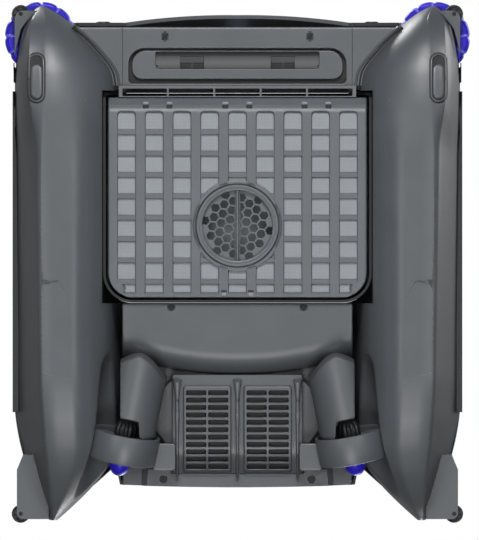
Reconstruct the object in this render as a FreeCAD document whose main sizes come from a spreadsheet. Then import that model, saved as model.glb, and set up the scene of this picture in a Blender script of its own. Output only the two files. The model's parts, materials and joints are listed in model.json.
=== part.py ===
import FreeCAD, Part

import math
import os
import re

# A floating pool cleaner, 430 mm wide, 481 mm long and 143 mm tall. It stands on its two pontoons.
# -Y is the bow, +Z is up and +X is the port side, which is on the right seen from below with the bow up.
# The origin is on the ground under the middle of the hull. Every piece is a sub-part with its own label.

Vector = FreeCAD.Vector
OUT = "parts"
UP = (0, 0, 1)
RIGHT = (1, 0, 0)
REAR = (0, 1, 0)

SIZES = {
    # Heights above the ground.
    "pontoon_top": (95, "top edge of the pontoons"),
    "seal_thick": (1.5, "foam seal between the pontoons and the deck"),
    "cap_flange": (40.6, "radius of the cap's flange above the basket floor"),
    "cage_foot": (43.5, "radius of the tablet cage's foot"),
    "deck_top": (140, "top of the deck"),
    "bow_floor": (52, "underside of the bow panel"),
    "bow_ceiling": (104, "lower edge of the deck over the mouth"),
    "belly_floor": (42, "underside of the battery belly"),
    "stern_floor": (72, "underside of the stern hull"),
    "basket_floor": (40, "underside of the debris basket"),
    "basket_rim": (136, "top of the debris basket's rim"),
    # The hull between the pontoons.
    "wall": (2.4, "moulded wall"),
    "panel_thick": (3, "thickness of the bow panel"),
    "hull_half": (105.8, "half the stern hull's width"),
    "bow_front": (-216.7, "front edge of the bow panel"),
    "bow_rear": (-162.7, "rear edge of the bow panel"),
    "slot_half": (100.2, "half the width of the slot in the bow panel"),
    "slot_front": (-197.3, "front edge of that slot"),
    "slot_round": (15, "corner radius of that slot"),
    "belly_front": (37.2, "front wall of the battery belly"),
    "belly_side": (92, "rear end of the belly at its sides"),
    "belly_mid": (112, "rear end of the belly in the middle"),
    "belly_round": (20, "rounding of the belly's rear edge"),
    "stern_end": (205, "rear end of the stern hull"),
    # The inlet comb.
    "comb_half": (109.2, "half the comb's width"),
    "comb_rear": (-152.2, "rear edge of the comb"),
    "comb_bar": (2.6, "thickness of the comb's frame"),
    "comb_rib": (1.8, "thickness of the comb's ribs"),
    "comb_pitch": (42.7, "spacing of the comb's ribs"),
    # The well and the basket.
    "well_half": (123.5, "half the well's outer width"),
    "well_front": (-156.4, "front of the well"),
    "well_rear": (36.9, "rear of the well"),
    "well_round": (27, "outer corner radius of the well"),
    "well_sill": (38, "lower edge of the well"),
    "well_top": (131.4, "upper edge of the well"),
    "basket_half": (118.3, "half the basket's width"),
    "basket_front": (-151, "front of the basket"),
    "basket_rear": (31.7, "rear of the basket"),
    "basket_round": (22.5, "rear corner radius of the basket"),
    "basket_wall": (2.5, "basket wall"),
    "basket_nose": (9, "length and height of the chamfer along the basket's front edge"),
    "window_wide": (16.4, "width of a window in the basket"),
    "window_long": (15.2, "length of a window in the basket"),
    "window_pitch_x": (25.5, "spacing of the windows across"),
    "window_pitch_y": (19.65, "spacing of the windows along"),
    "window_start": (-129.7, "middle of the first row of windows"),
    "cap_y": (-33.9, "middle of the tablet dispenser"),
    "cap_radius": (38, "outer radius of the dispenser cap"),
    "cap_open": (32.3, "radius of the cap's opening"),
    "cap_bar": (2, "thickness of the cap's grip bar"),
    "hex_pitch": (8.7, "spacing of the hexagonal holes"),
    "hex_across": (7.1, "hexagonal holes across their flats"),
    "hex_turn": (9, "turn of the hexagonal pattern in degrees"),
    # The vent housing and its skids.
    "vent_half": (60, "half the vent housing's width"),
    "vent_front": (112.4, "front of the vent housing"),
    "vent_rear": (194, "rear of the vent housing"),
    "vent_floor": (48, "underside of the vent housing"),
    "vent_slope": (174, "where the vent housing's underside turns up"),
    "slat_wide": (18.6, "width of a vent slot"),
    "slat_long": (4.6, "length of a vent slot"),
    "slat_pitch": (6.8, "spacing of the vent slots"),
    "slat_start": (120, "middle of the first vent slot"),
    "skid_gap": (55.4, "distance of the outer skids from the middle"),
    "skid_thick": (3.6, "thickness of a skid"),
    # The thrusters.
    "thrust_x": (105, "duct centre from the middle"),
    "thrust_y": (169, "duct centre along the hull"),
    "thrust_z": (42, "height of the duct's centre"),
    "thrust_toe": (11, "degrees that a thruster points outwards"),
    "thrust_pitch": (8, "degrees that a thruster's rear end is raised"),
    "duct_outer": (32, "outer radius of the duct"),
    "duct_inner": (29, "inner radius of the duct"),
    "duct_long": (26, "length of the duct"),
    "tunnel": (34, "radius of the tunnel in the pontoon"),
    "pod_radius": (27, "radius of the motor pod"),
    "pod_bore": (10.5, "bore of the motor pod"),
    "pod_side": (107.5, "where the pod's outer side is trimmed flat"),
    "pod_front": (-88, "front end of the pod along the thruster's axis"),
    "tray_half": (76, "half the width of the tray in the slot"),
    "tray_front": (-194, "front edge of the tray"),
    "tray_rear": (-178, "rear edge of the tray"),
    "hub_radius": (10.5, "radius of the propeller hub"),
    "blade_tip": (27.4, "radius of the propeller"),
    "shaft_radius": (2, "radius of the propeller shaft"),
    # The corner wheels and the rollers.
    "wheel_x": (181.7, "corner wheel centre from the middle"),
    "wheel_y": (-207.7, "corner wheel centre along the hull"),
    "wheel_z": (87, "underside of the corner wheel"),
    "wheel_radius": (33.1, "radius of the corner wheel"),
    "wheel_thick": (14, "thickness of the corner wheel"),
    "wheel_groove": (1.1, "radius of the grooves round the corner wheel"),
    "wheel_pin": (4, "radius of the corner wheel's axle"),
    "roller_x": (199.6, "roller centres from the middle"),
    "roller_front": (-229, "front roller centre along the hull"),
    "roller_rear": (231.5, "rear roller centre along the hull"),
    "roller_z": (65, "underside of a roller"),
    "roller_radius": (8.4, "radius of a roller"),
    "roller_long": (15, "height of a roller"),
    "roller_pin": (2, "radius of a roller's pin"),
    "running_gap": (0.06, "radial clearance of a running fit"),
    # The paddle wheel.
    "paddle_y": (-187, "paddle wheel axis along the hull"),
    "paddle_z": (83, "height of the paddle wheel's axis"),
    "paddle_half": (100, "half the paddle wheel's length"),
    "paddle_radius": (22.5, "radius of the paddle wheel"),
    "paddle_core": (7, "radius of the paddle wheel's core"),
    "paddle_shaft": (3, "radius of the paddle wheel's shaft"),
    "cheek_in": (102.5, "inner face of a mouth cheek"),
    "cheek_out": (105.5, "outer face of a mouth cheek"),
    # The deck fittings.
    "panel_half": (150, "half the solar panel's width"),
    "panel_front": (50, "front of the solar panel"),
    "panel_rear": (168, "rear of the solar panel"),
    "panel_sink": (2.5, "depth of the panel's recess"),
    "lid_half": (104, "half the basket lid's width"),
    "lid_front": (-140, "front of the basket lid"),
    "lid_thick": (2.4, "thickness of the basket lid"),
    "hinge_y": (22, "hinge line of the lid and the bail along the hull"),
    "hinge_z": (139.8, "height of that hinge line"),
    "hinge_pin": (1.2, "radius of the hinge pins"),
    "basket_open": (100, "half the width of the basket's top opening"),
    "frame_thick": (4.3, "thickness of the basket's top frame"),
    "bail_x": (112.5, "legs of the bail handle from the middle"),
    "bail_front": (-146, "grip of the bail handle when it lies down"),
    "bail_radius": (2.6, "radius of the bail handle"),
    "button_y": (-187, "power button along the hull"),
    "button_radius": (9, "radius of the power button"),
    "port_x": (52, "charging port from the middle"),
    "port_y": (179, "charging port along the hull"),
    "eye_x": (124, "sonar eyes from the middle"),
    "eye_z": (108, "height of the sonar eyes"),
    "eye_radius": (6.5, "radius of a sonar eye"),
}

doc = FreeCAD.newDocument("PoolCleaner")
sheet = doc.addObject("Spreadsheet::Sheet", "Sizes")
for row, (alias, (number, note)) in enumerate(SIZES.items(), 1):
    sheet.set(f"A{row}", note)
    sheet.set(f"B{row}", str(number))
    sheet.setAlias(f"B{row}", alias)
doc.recompute()
kept = []


def size(alias):
    """The number that the sheet holds under an alias."""
    return float(getattr(sheet, alias))


def formula(text):
    """The text with each alias written as the sheet's."""
    return re.sub(r"[a-z_]{3,}", lambda word: "Sizes." + word[0] if word[0] in SIZES else word[0], str(text))


def bind(item, **sizes):
    """Binds properties of an object to formulas of the sheet's aliases."""
    for prop, text in sizes.items():
        item.setExpression(prop, formula(text))
    return item


def place(item, at, along=UP):
    """Puts an object at a point given by three formulas, with its own Z along a direction."""
    item.Placement = FreeCAD.Placement(Vector(), FreeCAD.Rotation(Vector(*UP), Vector(*along)))
    for axis, text in zip("xyz", at):
        item.setExpression("Placement.Base." + axis, formula(text))
    return item


def block(name, x, y, z):
    """A box between a low and a high formula on each axis."""
    item = doc.addObject("Part::Box", name)
    bind(item, Length=f"({x[1]}) - ({x[0]})", Width=f"({y[1]}) - ({y[0]})", Height=f"({z[1]}) - ({z[0]})")
    return place(item, (x[0], y[0], z[0]))


def rod(name, radius, height, at, along=UP):
    item = doc.addObject("Part::Cylinder", name)
    bind(item, Radius=radius, Height=height)
    return place(item, at, along)


def taper(name, radius_start, radius_end, height, at, along=UP):
    item = doc.addObject("Part::Cone", name)
    bind(item, Radius1=radius_start, Radius2=radius_end, Height=height)
    return place(item, at, along)


def fuse(name, *items):
    item = doc.addObject("Part::MultiFuse", name)
    item.Shapes = list(items)
    return item


def cut(name, base, *tools):
    item = doc.addObject("Part::Cut", name)
    item.Base = base
    item.Tool = tools[0] if len(tools) == 1 else fuse(name + "_tools", *tools)
    return item


def common(name, *items):
    item = doc.addObject("Part::MultiCommon", name)
    item.Shapes = list(items)
    return item


def group(name, *items):
    """Separate solids in one sub-part."""
    item = doc.addObject("Part::Compound", name)
    item.Links = list(items)
    return item


def mirror(name, item):
    """The same piece on the other side of the hull."""
    other = doc.addObject("Part::Mirroring", name)
    other.Source = item
    other.Normal = Vector(*RIGHT)
    return other


def formed(name, shape):
    """A sub-part or blank whose shape is worked out from the sheet in this script."""
    item = doc.addObject("Part::Feature", name)
    item.Shape = shape
    return item


def keep(item, label=None):
    """Marks an object as a finished sub-part under its label."""
    item.Label = label or item.Name
    kept.append(item)
    return item


def draw(sketch, start, *steps):
    """Draws a closed outline: a step of one point is a line, and one of two points an arc through the first."""
    at = start
    for step in (*steps, (start,)):
        ends = [Vector(*point, 0) for point in (at, *step)]
        if len(step) == 1 and ends[0].distanceToPoint(ends[1]) < 1e-7:
            continue
        sketch.addGeometry(Part.LineSegment(*ends) if len(step) == 1 else Part.Arc(*ends), False)
        at = step[-1]


def sketched(body, name, height, start, *steps, plane="XY_Plane"):
    """A sketch on one of its body's own origin planes, raised by height."""
    sketch = body.newObject("Sketcher::SketchObject", name)
    sketch.AttachmentSupport = [(next(f for f in body.Origin.OriginFeatures if f.Role == plane), "")]
    sketch.MapMode = "FlatFace"
    bind(sketch, **{"AttachmentOffset.Base.z": height})
    draw(sketch, start, *steps)
    return sketch


def padded(name, outline, low, high, plane="XY_Plane"):
    """A PartDesign body padded from a sketched outline, from the low to the high formula."""
    body = doc.addObject("PartDesign::Body", name)
    pad = body.newObject("PartDesign::Pad", name + "_pad")
    pad.Profile = sketched(body, name + "_outline", low, *outline, plane=plane)
    bind(pad, Length=f"({high}) - ({low})")
    body.Tip = pad
    return body


def rounded(half, front, rear, front_round, rear_round):
    """The steps of a rectangle symmetric about X = 0 with rounded front and rear corners."""
    bend = 1 - math.sqrt(0.5)
    steps = [(-half + front_round, front), ((half - front_round, front),)]
    steps.append(((half - bend * front_round, front + bend * front_round), (half, front + front_round)))
    steps.append(((half, rear - rear_round),))
    steps.append(((half - bend * rear_round, rear - bend * rear_round), (half - rear_round, rear)))
    steps.append(((-half + rear_round, rear),))
    steps.append(((-half + bend * rear_round, rear - bend * rear_round), (-half, rear - rear_round)))
    steps.append(((-half, front + front_round),))
    steps.append(((-half + bend * front_round, front + bend * front_round), (-half + front_round, front)))
    return steps


# Stations of a pontoon from bow to stern, on the +X side: distance along the hull, outer edge and inner
# edge at the top, the chine along the outer side of the keel, the height of the keel, and how far the outer
# side bulges over the chine, from 0 for a flat side to 1 for a round one.
PONTOON = [
    (-234.5, 187, 174, 181, 66, 0.6),
    (-228, 194, 163, 182, 47, 0.8),
    (-215, 199, 147, 183, 28, 1),
    (-197, 202.5, 128, 183.5, 15, 1),
    (-172, 205, 111, 184, 6, 1),
    (-140, 205.5, 108, 184, 1.2, 0.8),
    (-100, 205.5, 108, 184, 0, 0.35),
    (100, 205.5, 108, 182, 0, 0),
    (137, 205, 108, 180, 4, 0),
    (165, 199.8, 109, 178, 12, 0),
    (187, 194.3, 118, 175.5, 22, 0),
    (207, 188.5, 134, 173.6, 35, 0),
    (225, 181.5, 152, 172, 50, 0),
    (237.5, 174, 166, 171, 66, 0),
]

# Levels of the deck: height as a share of the way from its lower edge to its top, and its scale there.
DECK = [(0, 1), (0.42, 1), (0.74, 0.985), (0.93, 0.956), (1, 0.928)]


def pontoon_form():
    """The full outer form of the right pontoon: a loft through its stations, flat along the ground."""
    wires = []
    top = size("pontoon_top")
    for y, outer, inner, chine, keel, bulge in PONTOON:
        tall, wide, flare = top - keel, chine - inner, outer - chine
        shares = [(0, 0.035), (0.15, -0.006), (0.40, -0.006), (0.60, 0.09), (0.84, 0.37)]
        points = [Vector(chine - a * wide, y, keel + b * tall) for a, b in shares]
        points.append(Vector(inner, y, top))
        bilge = Vector(chine + (0.5 + 0.12 * bulge) * flare, y, keel + (0.52 - 0.28 * bulge) * tall)
        curve, side = Part.BSplineCurve(), Part.BSplineCurve()
        curve.interpolate(points)
        side.interpolate([Vector(outer, y, top), bilge, points[0]])
        rim = Part.LineSegment(points[-1], Vector(outer, y, top))
        wires.append(Part.Wire([curve.toShape(), rim.toShape(), side.toShape()]))
    ground = Part.makeBox(600, 600, 20, Vector(-300, -300, -20))
    return Part.makeLoft(wires, True, True).cut(ground)


def float_prism(inset, front, rear, top):
    """The hollow in the right pontoon, or with an inset the foam that fills it."""
    low, high, inner = 11 + inset, size("pontoon_top") + 1, 127.5 + inset
    corners = [(139 + inset, low), (180 - inset, low), (199.5 - inset, high), (inner, high), (inner, 38)]
    outline = [Vector(x, front, z) for x, z in corners]
    prism = Part.Face(Part.makePolygon([*outline, outline[0]])).extrude(Vector(0, rear - front, 0))
    return prism.common(Part.makeBox(400, 600, top, Vector(0, -300, 0)))


def thrust_direction():
    toe, pitch = math.radians(size("thrust_toe")), math.radians(size("thrust_pitch"))
    return (math.sin(toe) * math.cos(pitch), math.cos(toe) * math.cos(pitch), math.sin(pitch))


def thrust_turn():
    """The rotation that puts Y along the right thruster's axis."""
    toe = FreeCAD.Rotation(Vector(*UP), -size("thrust_toe"))
    return toe.multiply(FreeCAD.Rotation(Vector(*RIGHT), size("thrust_pitch")))


def on_thrust(along, aside=0, lift=0):
    """Formulas for the point that far along the right thruster's axis, aside of it and above it."""
    toe, pitch = "thrust_toe * 1 deg", "thrust_pitch * 1 deg"
    level = f"(({along}) * cos({pitch}) - ({lift}) * sin({pitch}))"
    return (
        f"thrust_x + {level} * sin({toe}) + ({aside}) * cos({toe})",
        f"thrust_y + {level} * cos({toe}) - ({aside}) * sin({toe})",
        f"thrust_z + ({along}) * sin({pitch}) + ({lift}) * cos({pitch})",
    )


def thrust_rod(name, radius, low, high):
    """A rod on the right thruster's axis between two distances from the duct's centre."""
    return rod(name, radius, f"({high}) - ({low})", on_thrust(low), thrust_direction())


def cross_rod(name, radius, low, high, y, z):
    """A rod along X between two formulas."""
    return rod(name, radius, f"({high}) - ({low})", (low, y, z), RIGHT)


def thrust_block(name, long, wide, tall, along, aside, lift):
    """A box turned with the right thruster, from its corner at that place."""
    item = doc.addObject("Part::Box", name)
    bind(item, Length=wide, Width=long, Height=tall)
    item.Placement = FreeCAD.Placement(Vector(), thrust_turn())
    for axis, text in zip("xyz", on_thrust(along, aside, lift)):
        item.setExpression("Placement.Base." + axis, formula(text))
    return item


def pair(name, item):
    """A piece and its mirror image as one sub-part."""
    return group(name, item, mirror(item.Name + "_mirrored", item))


def both_sides(item):
    """Keeps a piece named with _right and its mirror image named with _left."""
    keep(item)
    keep(mirror(item.Name.replace("_right", "_left"), item))


def make_shared_rooms():
    """Forms and spaces that several pieces are cut by."""
    form = formed("pontoon_form", pontoon_form())
    mirror("pontoon_form_left", form)
    fuse("pontoon_forms", form, doc.pontoon_form_left)
    wheel_at = ("wheel_x", "wheel_y", "wheel_z - 2")
    mirror("wheel_room_left", rod("wheel_room", "wheel_radius + 3", "wheel_thick + 4.4", wheel_at))
    fuse("wheel_rooms", doc.wheel_room, doc.wheel_room_left)
    mirror("tunnel_left", thrust_rod("tunnel_room", "tunnel", -85, 90))
    fuse("tunnel_rooms", doc.tunnel_room, doc.tunnel_left)


def make_pontoons():
    """The pontoons with the foam in them and the sensor covers under their bows."""
    well = block("well_room", ("0", "well_half"), ("well_front - 1", "well_rear + 0.3"),
                 ("well_sill - 2", "120"))
    hollow = formed("float_room", float_prism(0, -150, 108, size("pontoon_top") + 1))
    axle = rod("axle_room", "wheel_pin", 30, ("wheel_x", "wheel_y", "wheel_z - 15"))
    motor = cross_rod("paddle_motor_room", 11.3, "cheek_out", "cheek_out + 41", "paddle_y", "paddle_z")
    roller = rod("bow_roller_room", "roller_radius + 1.2", "roller_long + 1",
                 ("roller_x", "roller_front", "roller_z - 0.5"))
    bow = block("bow_step", ("100", "215"), ("-245", "-196"), ("wheel_z - 2", "100"))
    tools = [doc.wheel_room, doc.tunnel_room, well, hollow, axle, motor, roller, bow]
    both_sides(cut("pontoon_right", doc.pontoon_form, *tools))
    keep(pair("float_foam", formed("float_block", float_prism(0.4, -149.5, 107.5, 90))))
    bend = 1 - math.sqrt(0.5)
    r, x, low, high = 7.6, 184.5, -192, -147
    capsule = [(x - r, low + r), ((x - r + bend * r, low + bend * r), (x, low)),
               ((x + r - bend * r, low + bend * r), (x + r, low + r)), ((x + r, high - r),),
               ((x + r - bend * r, high - bend * r), (x, high)),
               ((x - r + bend * r, high - bend * r), (x - r, high - r))]
    skin = formed("cover_skin", doc.pontoon_form.Shape.translated(Vector(0.6, -0.6, -1.6)))
    cover = common("cover_raised", padded("cover_blank", capsule, "0", "45"), skin)
    keep(pair("sensor_covers", cut("cover_right", cover, doc.pontoon_form)))


def make_bow():
    """The bow panel and its slot, the pan under the paddle wheel, the cheeks of the mouth and the comb."""
    side = [(149, -216.7), (156, -200), (156, -162.7)]
    outline = [(-156, -162.7), ((-156, -200),), ((-149, -216.7),), *[(point,) for point in side]]
    panel = padded("bow_panel_blank", outline, "bow_floor", "bow_floor + panel_thick")
    half, far, near, bend = size("slot_half"), size("slot_front"), size("bow_rear") - 2, size("slot_round")
    slot = padded("bow_slot", rounded(half, far, near, bend, 1), "bow_floor - 1", "bow_floor + 6")
    screws = pair("bow_screw_rooms", rod("bow_screw_room", 3.3, 3, ("66.7", "-207.9", "bow_floor - 1")))
    keep(cut("bow_panel", panel, doc.pontoon_forms, slot, screws))
    pan = padded("pan_blank", rounded(half + 2.5, far - 2.5, near, bend, 8), "bow_floor + panel_thick",
                 "bow_floor + panel_thick + 2.4")
    wide, front, rear = size("tray_half"), size("tray_front"), size("tray_rear")
    tray = padded("tray_blank", rounded(wide + 1.6, front - 1.6, rear + 1.6, 2, 6),
                  "bow_floor + panel_thick + 2.4",
                  "bow_floor + panel_thick + 5")
    hollow = padded("tray_hollow", rounded(wide, front, rear, 2, 5), "50", "bow_floor + panel_thick + 3.4")
    drain = block("drain", ("30.6", "52.8"), ("-190", "-178.4"), ("50", "62"))
    keep(cut("inlet_pan", fuse("pan_and_tray", pan, tray), hollow, pair("drains", drain)))
    cheek = block("cheek_plate", ("cheek_in", "cheek_out"), ("-214", "well_front - 0.3"),
                  ("bow_floor + panel_thick + 2.4", "bow_ceiling - 0.4"))
    bulkhead = block("bow_bulkhead", ("cheek_in", "152"), ("-214", "-211.6"),
                     ("bow_floor + panel_thick", "pontoon_top + 1"))
    bore = cross_rod("cheek_bore", 6, "cheek_in - 3", "cheek_out + 3", "paddle_y", "paddle_z")
    cheek = cut("cheek_right", fuse("cheek_blank", cheek, bulkhead), bore, doc.pontoon_form, doc.wheel_room)
    keep(pair("inlet_cheeks", cheek))
    ring = cross_rod("bush_blank", 6, "cheek_in", "cheek_out", "paddle_y", "paddle_z")
    hole = cross_rod("bush_hole", "paddle_shaft + running_gap", "cheek_in - 3", "cheek_out + 3", "paddle_y",
                     "paddle_z")
    pair("bush_pair", cut("bush_right", ring, hole))
    frame = block("comb_frame", ("-comb_half", "comb_half"), ("bow_rear", "comb_rear"), ("48", "60"))
    cells = []
    for i in range(5):
        ends = (f"{i - 2.5} * comb_pitch + comb_rib / 2", f"{i - 1.5} * comb_pitch - comb_rib / 2")
        cells.append(block(f"comb_cell_{i}", ends, ("bow_rear + comb_bar", "comb_rear - 1"), ("40", "70")))
    keep(cut("inlet_comb", frame, *cells, doc.inlet_cheeks, doc.pontoon_forms))


def make_paddle():
    """The paddle wheel, its shaft and the gear motor in the right pontoon."""
    y, z = "paddle_y", "paddle_z"
    solids = [cross_rod("paddle_core_rod", "paddle_core", "-paddle_half", "paddle_half", y, z)]
    for i in range(6):
        blade = doc.addObject("Part::Box", f"paddle_blade_{i}")
        bind(blade, Length="2 * paddle_half", Width=1.6, Height="paddle_radius")
        turn = FreeCAD.Rotation(Vector(*RIGHT), 60 * i + 30)
        middle = Vector(-size("paddle_half"), size("paddle_y"), size("paddle_z"))
        blade.Placement = FreeCAD.Placement(middle + turn.multVec(Vector(0, -0.8, 0)), turn)
        solids.append(blade)
    for i in range(7):
        low = f"{i - 3} * (paddle_half - 0.8) / 3 - 0.8"
        solids.append(cross_rod(f"paddle_disc_{i}", "paddle_radius - 0.5", low, low + " + 1.6", y, z))
    bore = cross_rod("paddle_bore", "paddle_shaft", "-paddle_half - 5", "paddle_half + 5", y, z)
    keep(cut("paddle_wheel", fuse("paddle_blank", *solids), bore))
    keep(cross_rod("paddle_shaft_rod", "paddle_shaft", "-cheek_out - 1", "cheek_out + 14", y, z),
         "paddle_shaft")
    can = cross_rod("paddle_motor_can", 11, "cheek_out + 6.4", "cheek_out + 39.4", y, z)
    socket = cross_rod("paddle_motor_hole", "paddle_shaft + running_gap", "cheek_out", "cheek_out + 14.4", y,
                       z)
    keep(cut("paddle_motor", can, socket))


def make_well():
    """The open box that the basket drops into, with its throat towards the mouth."""
    half, front, rear, bend = (size("well_" + word) for word in ("half", "front", "rear", "round"))
    t = size("wall")
    outer = padded("well_blank", rounded(half, front, rear, 2, bend), "well_sill", "well_top")
    inner = padded("well_hole", rounded(half - t, front + t, rear - t, 2, bend - t), "30", "well_top + 1")
    wide = ("-well_half - 1", "well_half + 1")
    throat = block("throat_room", ("-cheek_in", "cheek_in"), ("well_front - 5", "well_front + 10"),
                   ("30", "112"))
    comb = block("well_comb_room", wide, ("well_front - 2", "comb_rear + 0.3"), ("30", "60.5"))
    keep(cut("basket_well", outer, inner, throat, comb))


def make_stern():
    """The battery belly with the stern hull behind it, the vent housing, the skids and the rear rim."""
    half, front, side = size("hull_half"), size("belly_front"), size("belly_side")
    arc = [(-half, front), ((half, front),), ((half, side),), ((0, size("belly_mid")), (-half, side))]
    belly = padded("belly_form", arc, "belly_floor", "stern_floor")
    doc.recompute()
    rounding = doc.addObject("Part::Fillet", "belly_rounded")
    rounding.Base = belly
    rounding.Edges = [
        (i, size("belly_round"), size("belly_round")) for i, edge in enumerate(belly.Shape.Edges, 1)
        if edge.Curve.TypeId == "Part::GeomCircle" and edge.BoundBox.ZMax < size("belly_floor") + 0.1
    ]
    across = ("-hull_half", "hull_half")
    inside = ("-hull_half + wall", "hull_half - wall")
    hull = block("stern_form", across, ("belly_front", "stern_end"), ("stern_floor", "pontoon_top - 0.5"))
    whole = fuse("hull_form", rounding, hull)
    room = block("stern_room", inside, ("belly_front + wall", "stern_end - wall"),
                 ("stern_floor + wall", "120"))
    low_room = block("belly_room", inside, ("belly_front + wall", "belly_side - 22"),
                     ("belly_floor + wall", "120"))
    screws = pair("belly_screw_rooms", rod("belly_screw_room", 3.3, 3, ("60.9", "41", "belly_floor - 1")))
    keep(cut("belly_shell", whole, room, low_room, screws))

    low, back, end = size("vent_floor"), size("vent_slope"), size("vent_rear")
    t, top = size("wall"), size("stern_floor")
    outer = [(80, low), ((back, low),), ((end, low + 14),), ((end, top),), ((80, top),)]
    inner = [(size("vent_front"), low + t), ((back - 1, low + t),), ((end - t, low + 14 + t / 2),),
             ((end - t, top + 1),), ((size("vent_front"), top + 1),)]
    vent = padded("vent_form", outer, "-vent_half", "vent_half", plane="YZ_Plane")
    hollow = padded("vent_room", inner, "-vent_half + wall", "vent_half - wall", plane="YZ_Plane")
    slats = []
    for i in range(11):
        middle = f"slat_start + {i} * slat_pitch"
        for j, x in enumerate((-38, -17.7, 17.7, 38)):
            slats.append(block(f"slat_{i}_{j}", (f"{x} - slat_wide / 2", f"{x} + slat_wide / 2"),
                               (f"{middle} - slat_long / 2", f"{middle} + slat_long / 2"), ("40", "68")))
    keep(cut("vent_housing", vent, hollow, whole, *slats))
    profile = [(107, top), ((112, 44),), ((122, 40),), ((176, 40),), ((201, 62),), ((201, top),)]
    skids = []
    for i in (-1, 0, 1):
        ends = (f"{i} * skid_gap - skid_thick / 2", f"{i} * skid_gap + skid_thick / 2")
        skids.append(padded(f"skid_{i + 1}", profile, *ends, plane="YZ_Plane"))
    rim_room = block("rim_room", ("-110", "110"), ("vent_rear", "210"), ("66", "73"))
    keep(cut("skids", group("skid_blanks", *skids), whole, vent, rim_room))
    stop = size("stern_end")
    rim = [(-108.5, 190), ((-61, 190),), ((-61, 194.2),), ((61, 194.2),), ((61, 190),), ((108.5, 190),),
           ((108.5, stop),), ((0, stop + 2.2), (-108.5, stop))]
    screws = pair("rim_screw_rooms", rod("rim_screw_room", 3.3, 3, ("68.4", "199.6", "65")))
    keep(cut("rear_rim", padded("rim_blank", rim, "66", "stern_floor"), screws, doc.tunnel_rooms))


def make_thrusters():
    """A motor pod, motor, seal, shaft, propeller, tail cone and duct on each side."""
    pod = thrust_rod("pod_rod", "pod_radius", "pod_front", -34)
    tail = taper("pod_tail", "pod_radius", "hub_radius + 0.5", 8, on_thrust(-34), thrust_direction())
    saddle = thrust_block("pod_saddle", 62, "2 * pod_radius", "stern_floor - thrust_z + 6", "pod_front",
                          "-pod_radius", 0)
    trim = block("pod_trim", ("pod_side", "pod_side + 60"), ("50", "160"), ("-10", "120"))
    swirl = thrust_rod("pod_swirl_room", "blade_tip + 1", -28, -10)
    bore = thrust_rod("pod_bore_room", "pod_bore", -85, -40.9)
    seal_room = thrust_rod("pod_seal_room", 6, -42, -22)
    screw = rod("pod_screw_room", 3.3, 3, ("93.6", "112.3", "thrust_z - pod_radius - 1"))
    rooms = [bore, seal_room, screw, doc.hull_form, swirl, doc.vent_form, trim, doc.skids]
    both_sides(cut("motor_pod_right", fuse("pod_blank", pod, tail, saddle), *rooms))
    can = cut("motor_can", thrust_rod("motor_can_rod", "pod_bore - 0.5", -84, -46),
              thrust_rod("motor_can_hole", "shaft_radius + running_gap", -56, -45))
    keep(pair("thruster_motors", can))
    seal = cut("seal_ring", thrust_rod("seal_rod", 6, -41, -29),
               thrust_rod("seal_hole", "shaft_radius + running_gap", -43, -27))
    group("shaft_seals", pair("seal_pair", seal), doc.bush_pair)
    ring = thrust_rod("duct_ring", "duct_outer", "-duct_long / 2", "duct_long / 2")
    strut = block("duct_strut", ("skid_gap + skid_thick / 2", "thrust_x - 20"), ("167", "191"),
                  ("thrust_z - 2.5", "thrust_z + 2.5"))
    pylon = thrust_block("duct_pylon", "duct_long - 4", 24, "stern_floor - thrust_z - duct_inner",
                         "-duct_long / 2 + 2", -12, "duct_inner")
    rooms = [thrust_rod("duct_bore", "duct_inner", -30, 30), doc.vent_form, doc.hull_form, doc.rear_rim]
    both_sides(cut("duct_right", fuse("duct_blank", ring, strut, pylon), *rooms))
    blades = []
    middle = Vector(size("thrust_x"), size("thrust_y"), size("thrust_z"))
    for i in range(3):
        blade = doc.addObject("Part::Box", f"blade_{i}")
        bind(blade, Length=15, Width=1.8, Height="blade_tip + 5")
        turn = thrust_turn().multiply(FreeCAD.Rotation(Vector(*REAR), 120 * i + 20))
        turn = turn.multiply(FreeCAD.Rotation(Vector(*UP), 52))
        blade.Placement = FreeCAD.Placement(middle + turn.multVec(Vector(-7.5, -0.9, 0)), turn)
        blades.append(blade)
    blades = common("blade_set", fuse("blade_fan", *blades), thrust_rod("blade_disc", "blade_tip", -12, 12))
    fan = fuse("propeller_blank", thrust_rod("hub_rod", "hub_radius", -26, 11), blades)
    both_sides(cut("propeller_right", fan, thrust_rod("hub_hole", "shaft_radius", -30, 4)))
    ball = doc.addObject("Part::Ellipsoid", "tail_ball")
    bind(ball, Radius1=17, Radius2="hub_radius", Radius3="hub_radius")
    place(ball, on_thrust(11), thrust_direction())
    both_sides(common("tail_cone_right", ball, thrust_rod("tail_half", 15, 11, 31)))
    shaft = thrust_rod("shaft_rod", "shaft_radius", -55.5, 4)
    keep(shaft, "prop_shaft_right")
    keep(mirror("prop_shaft_left", shaft))


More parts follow.
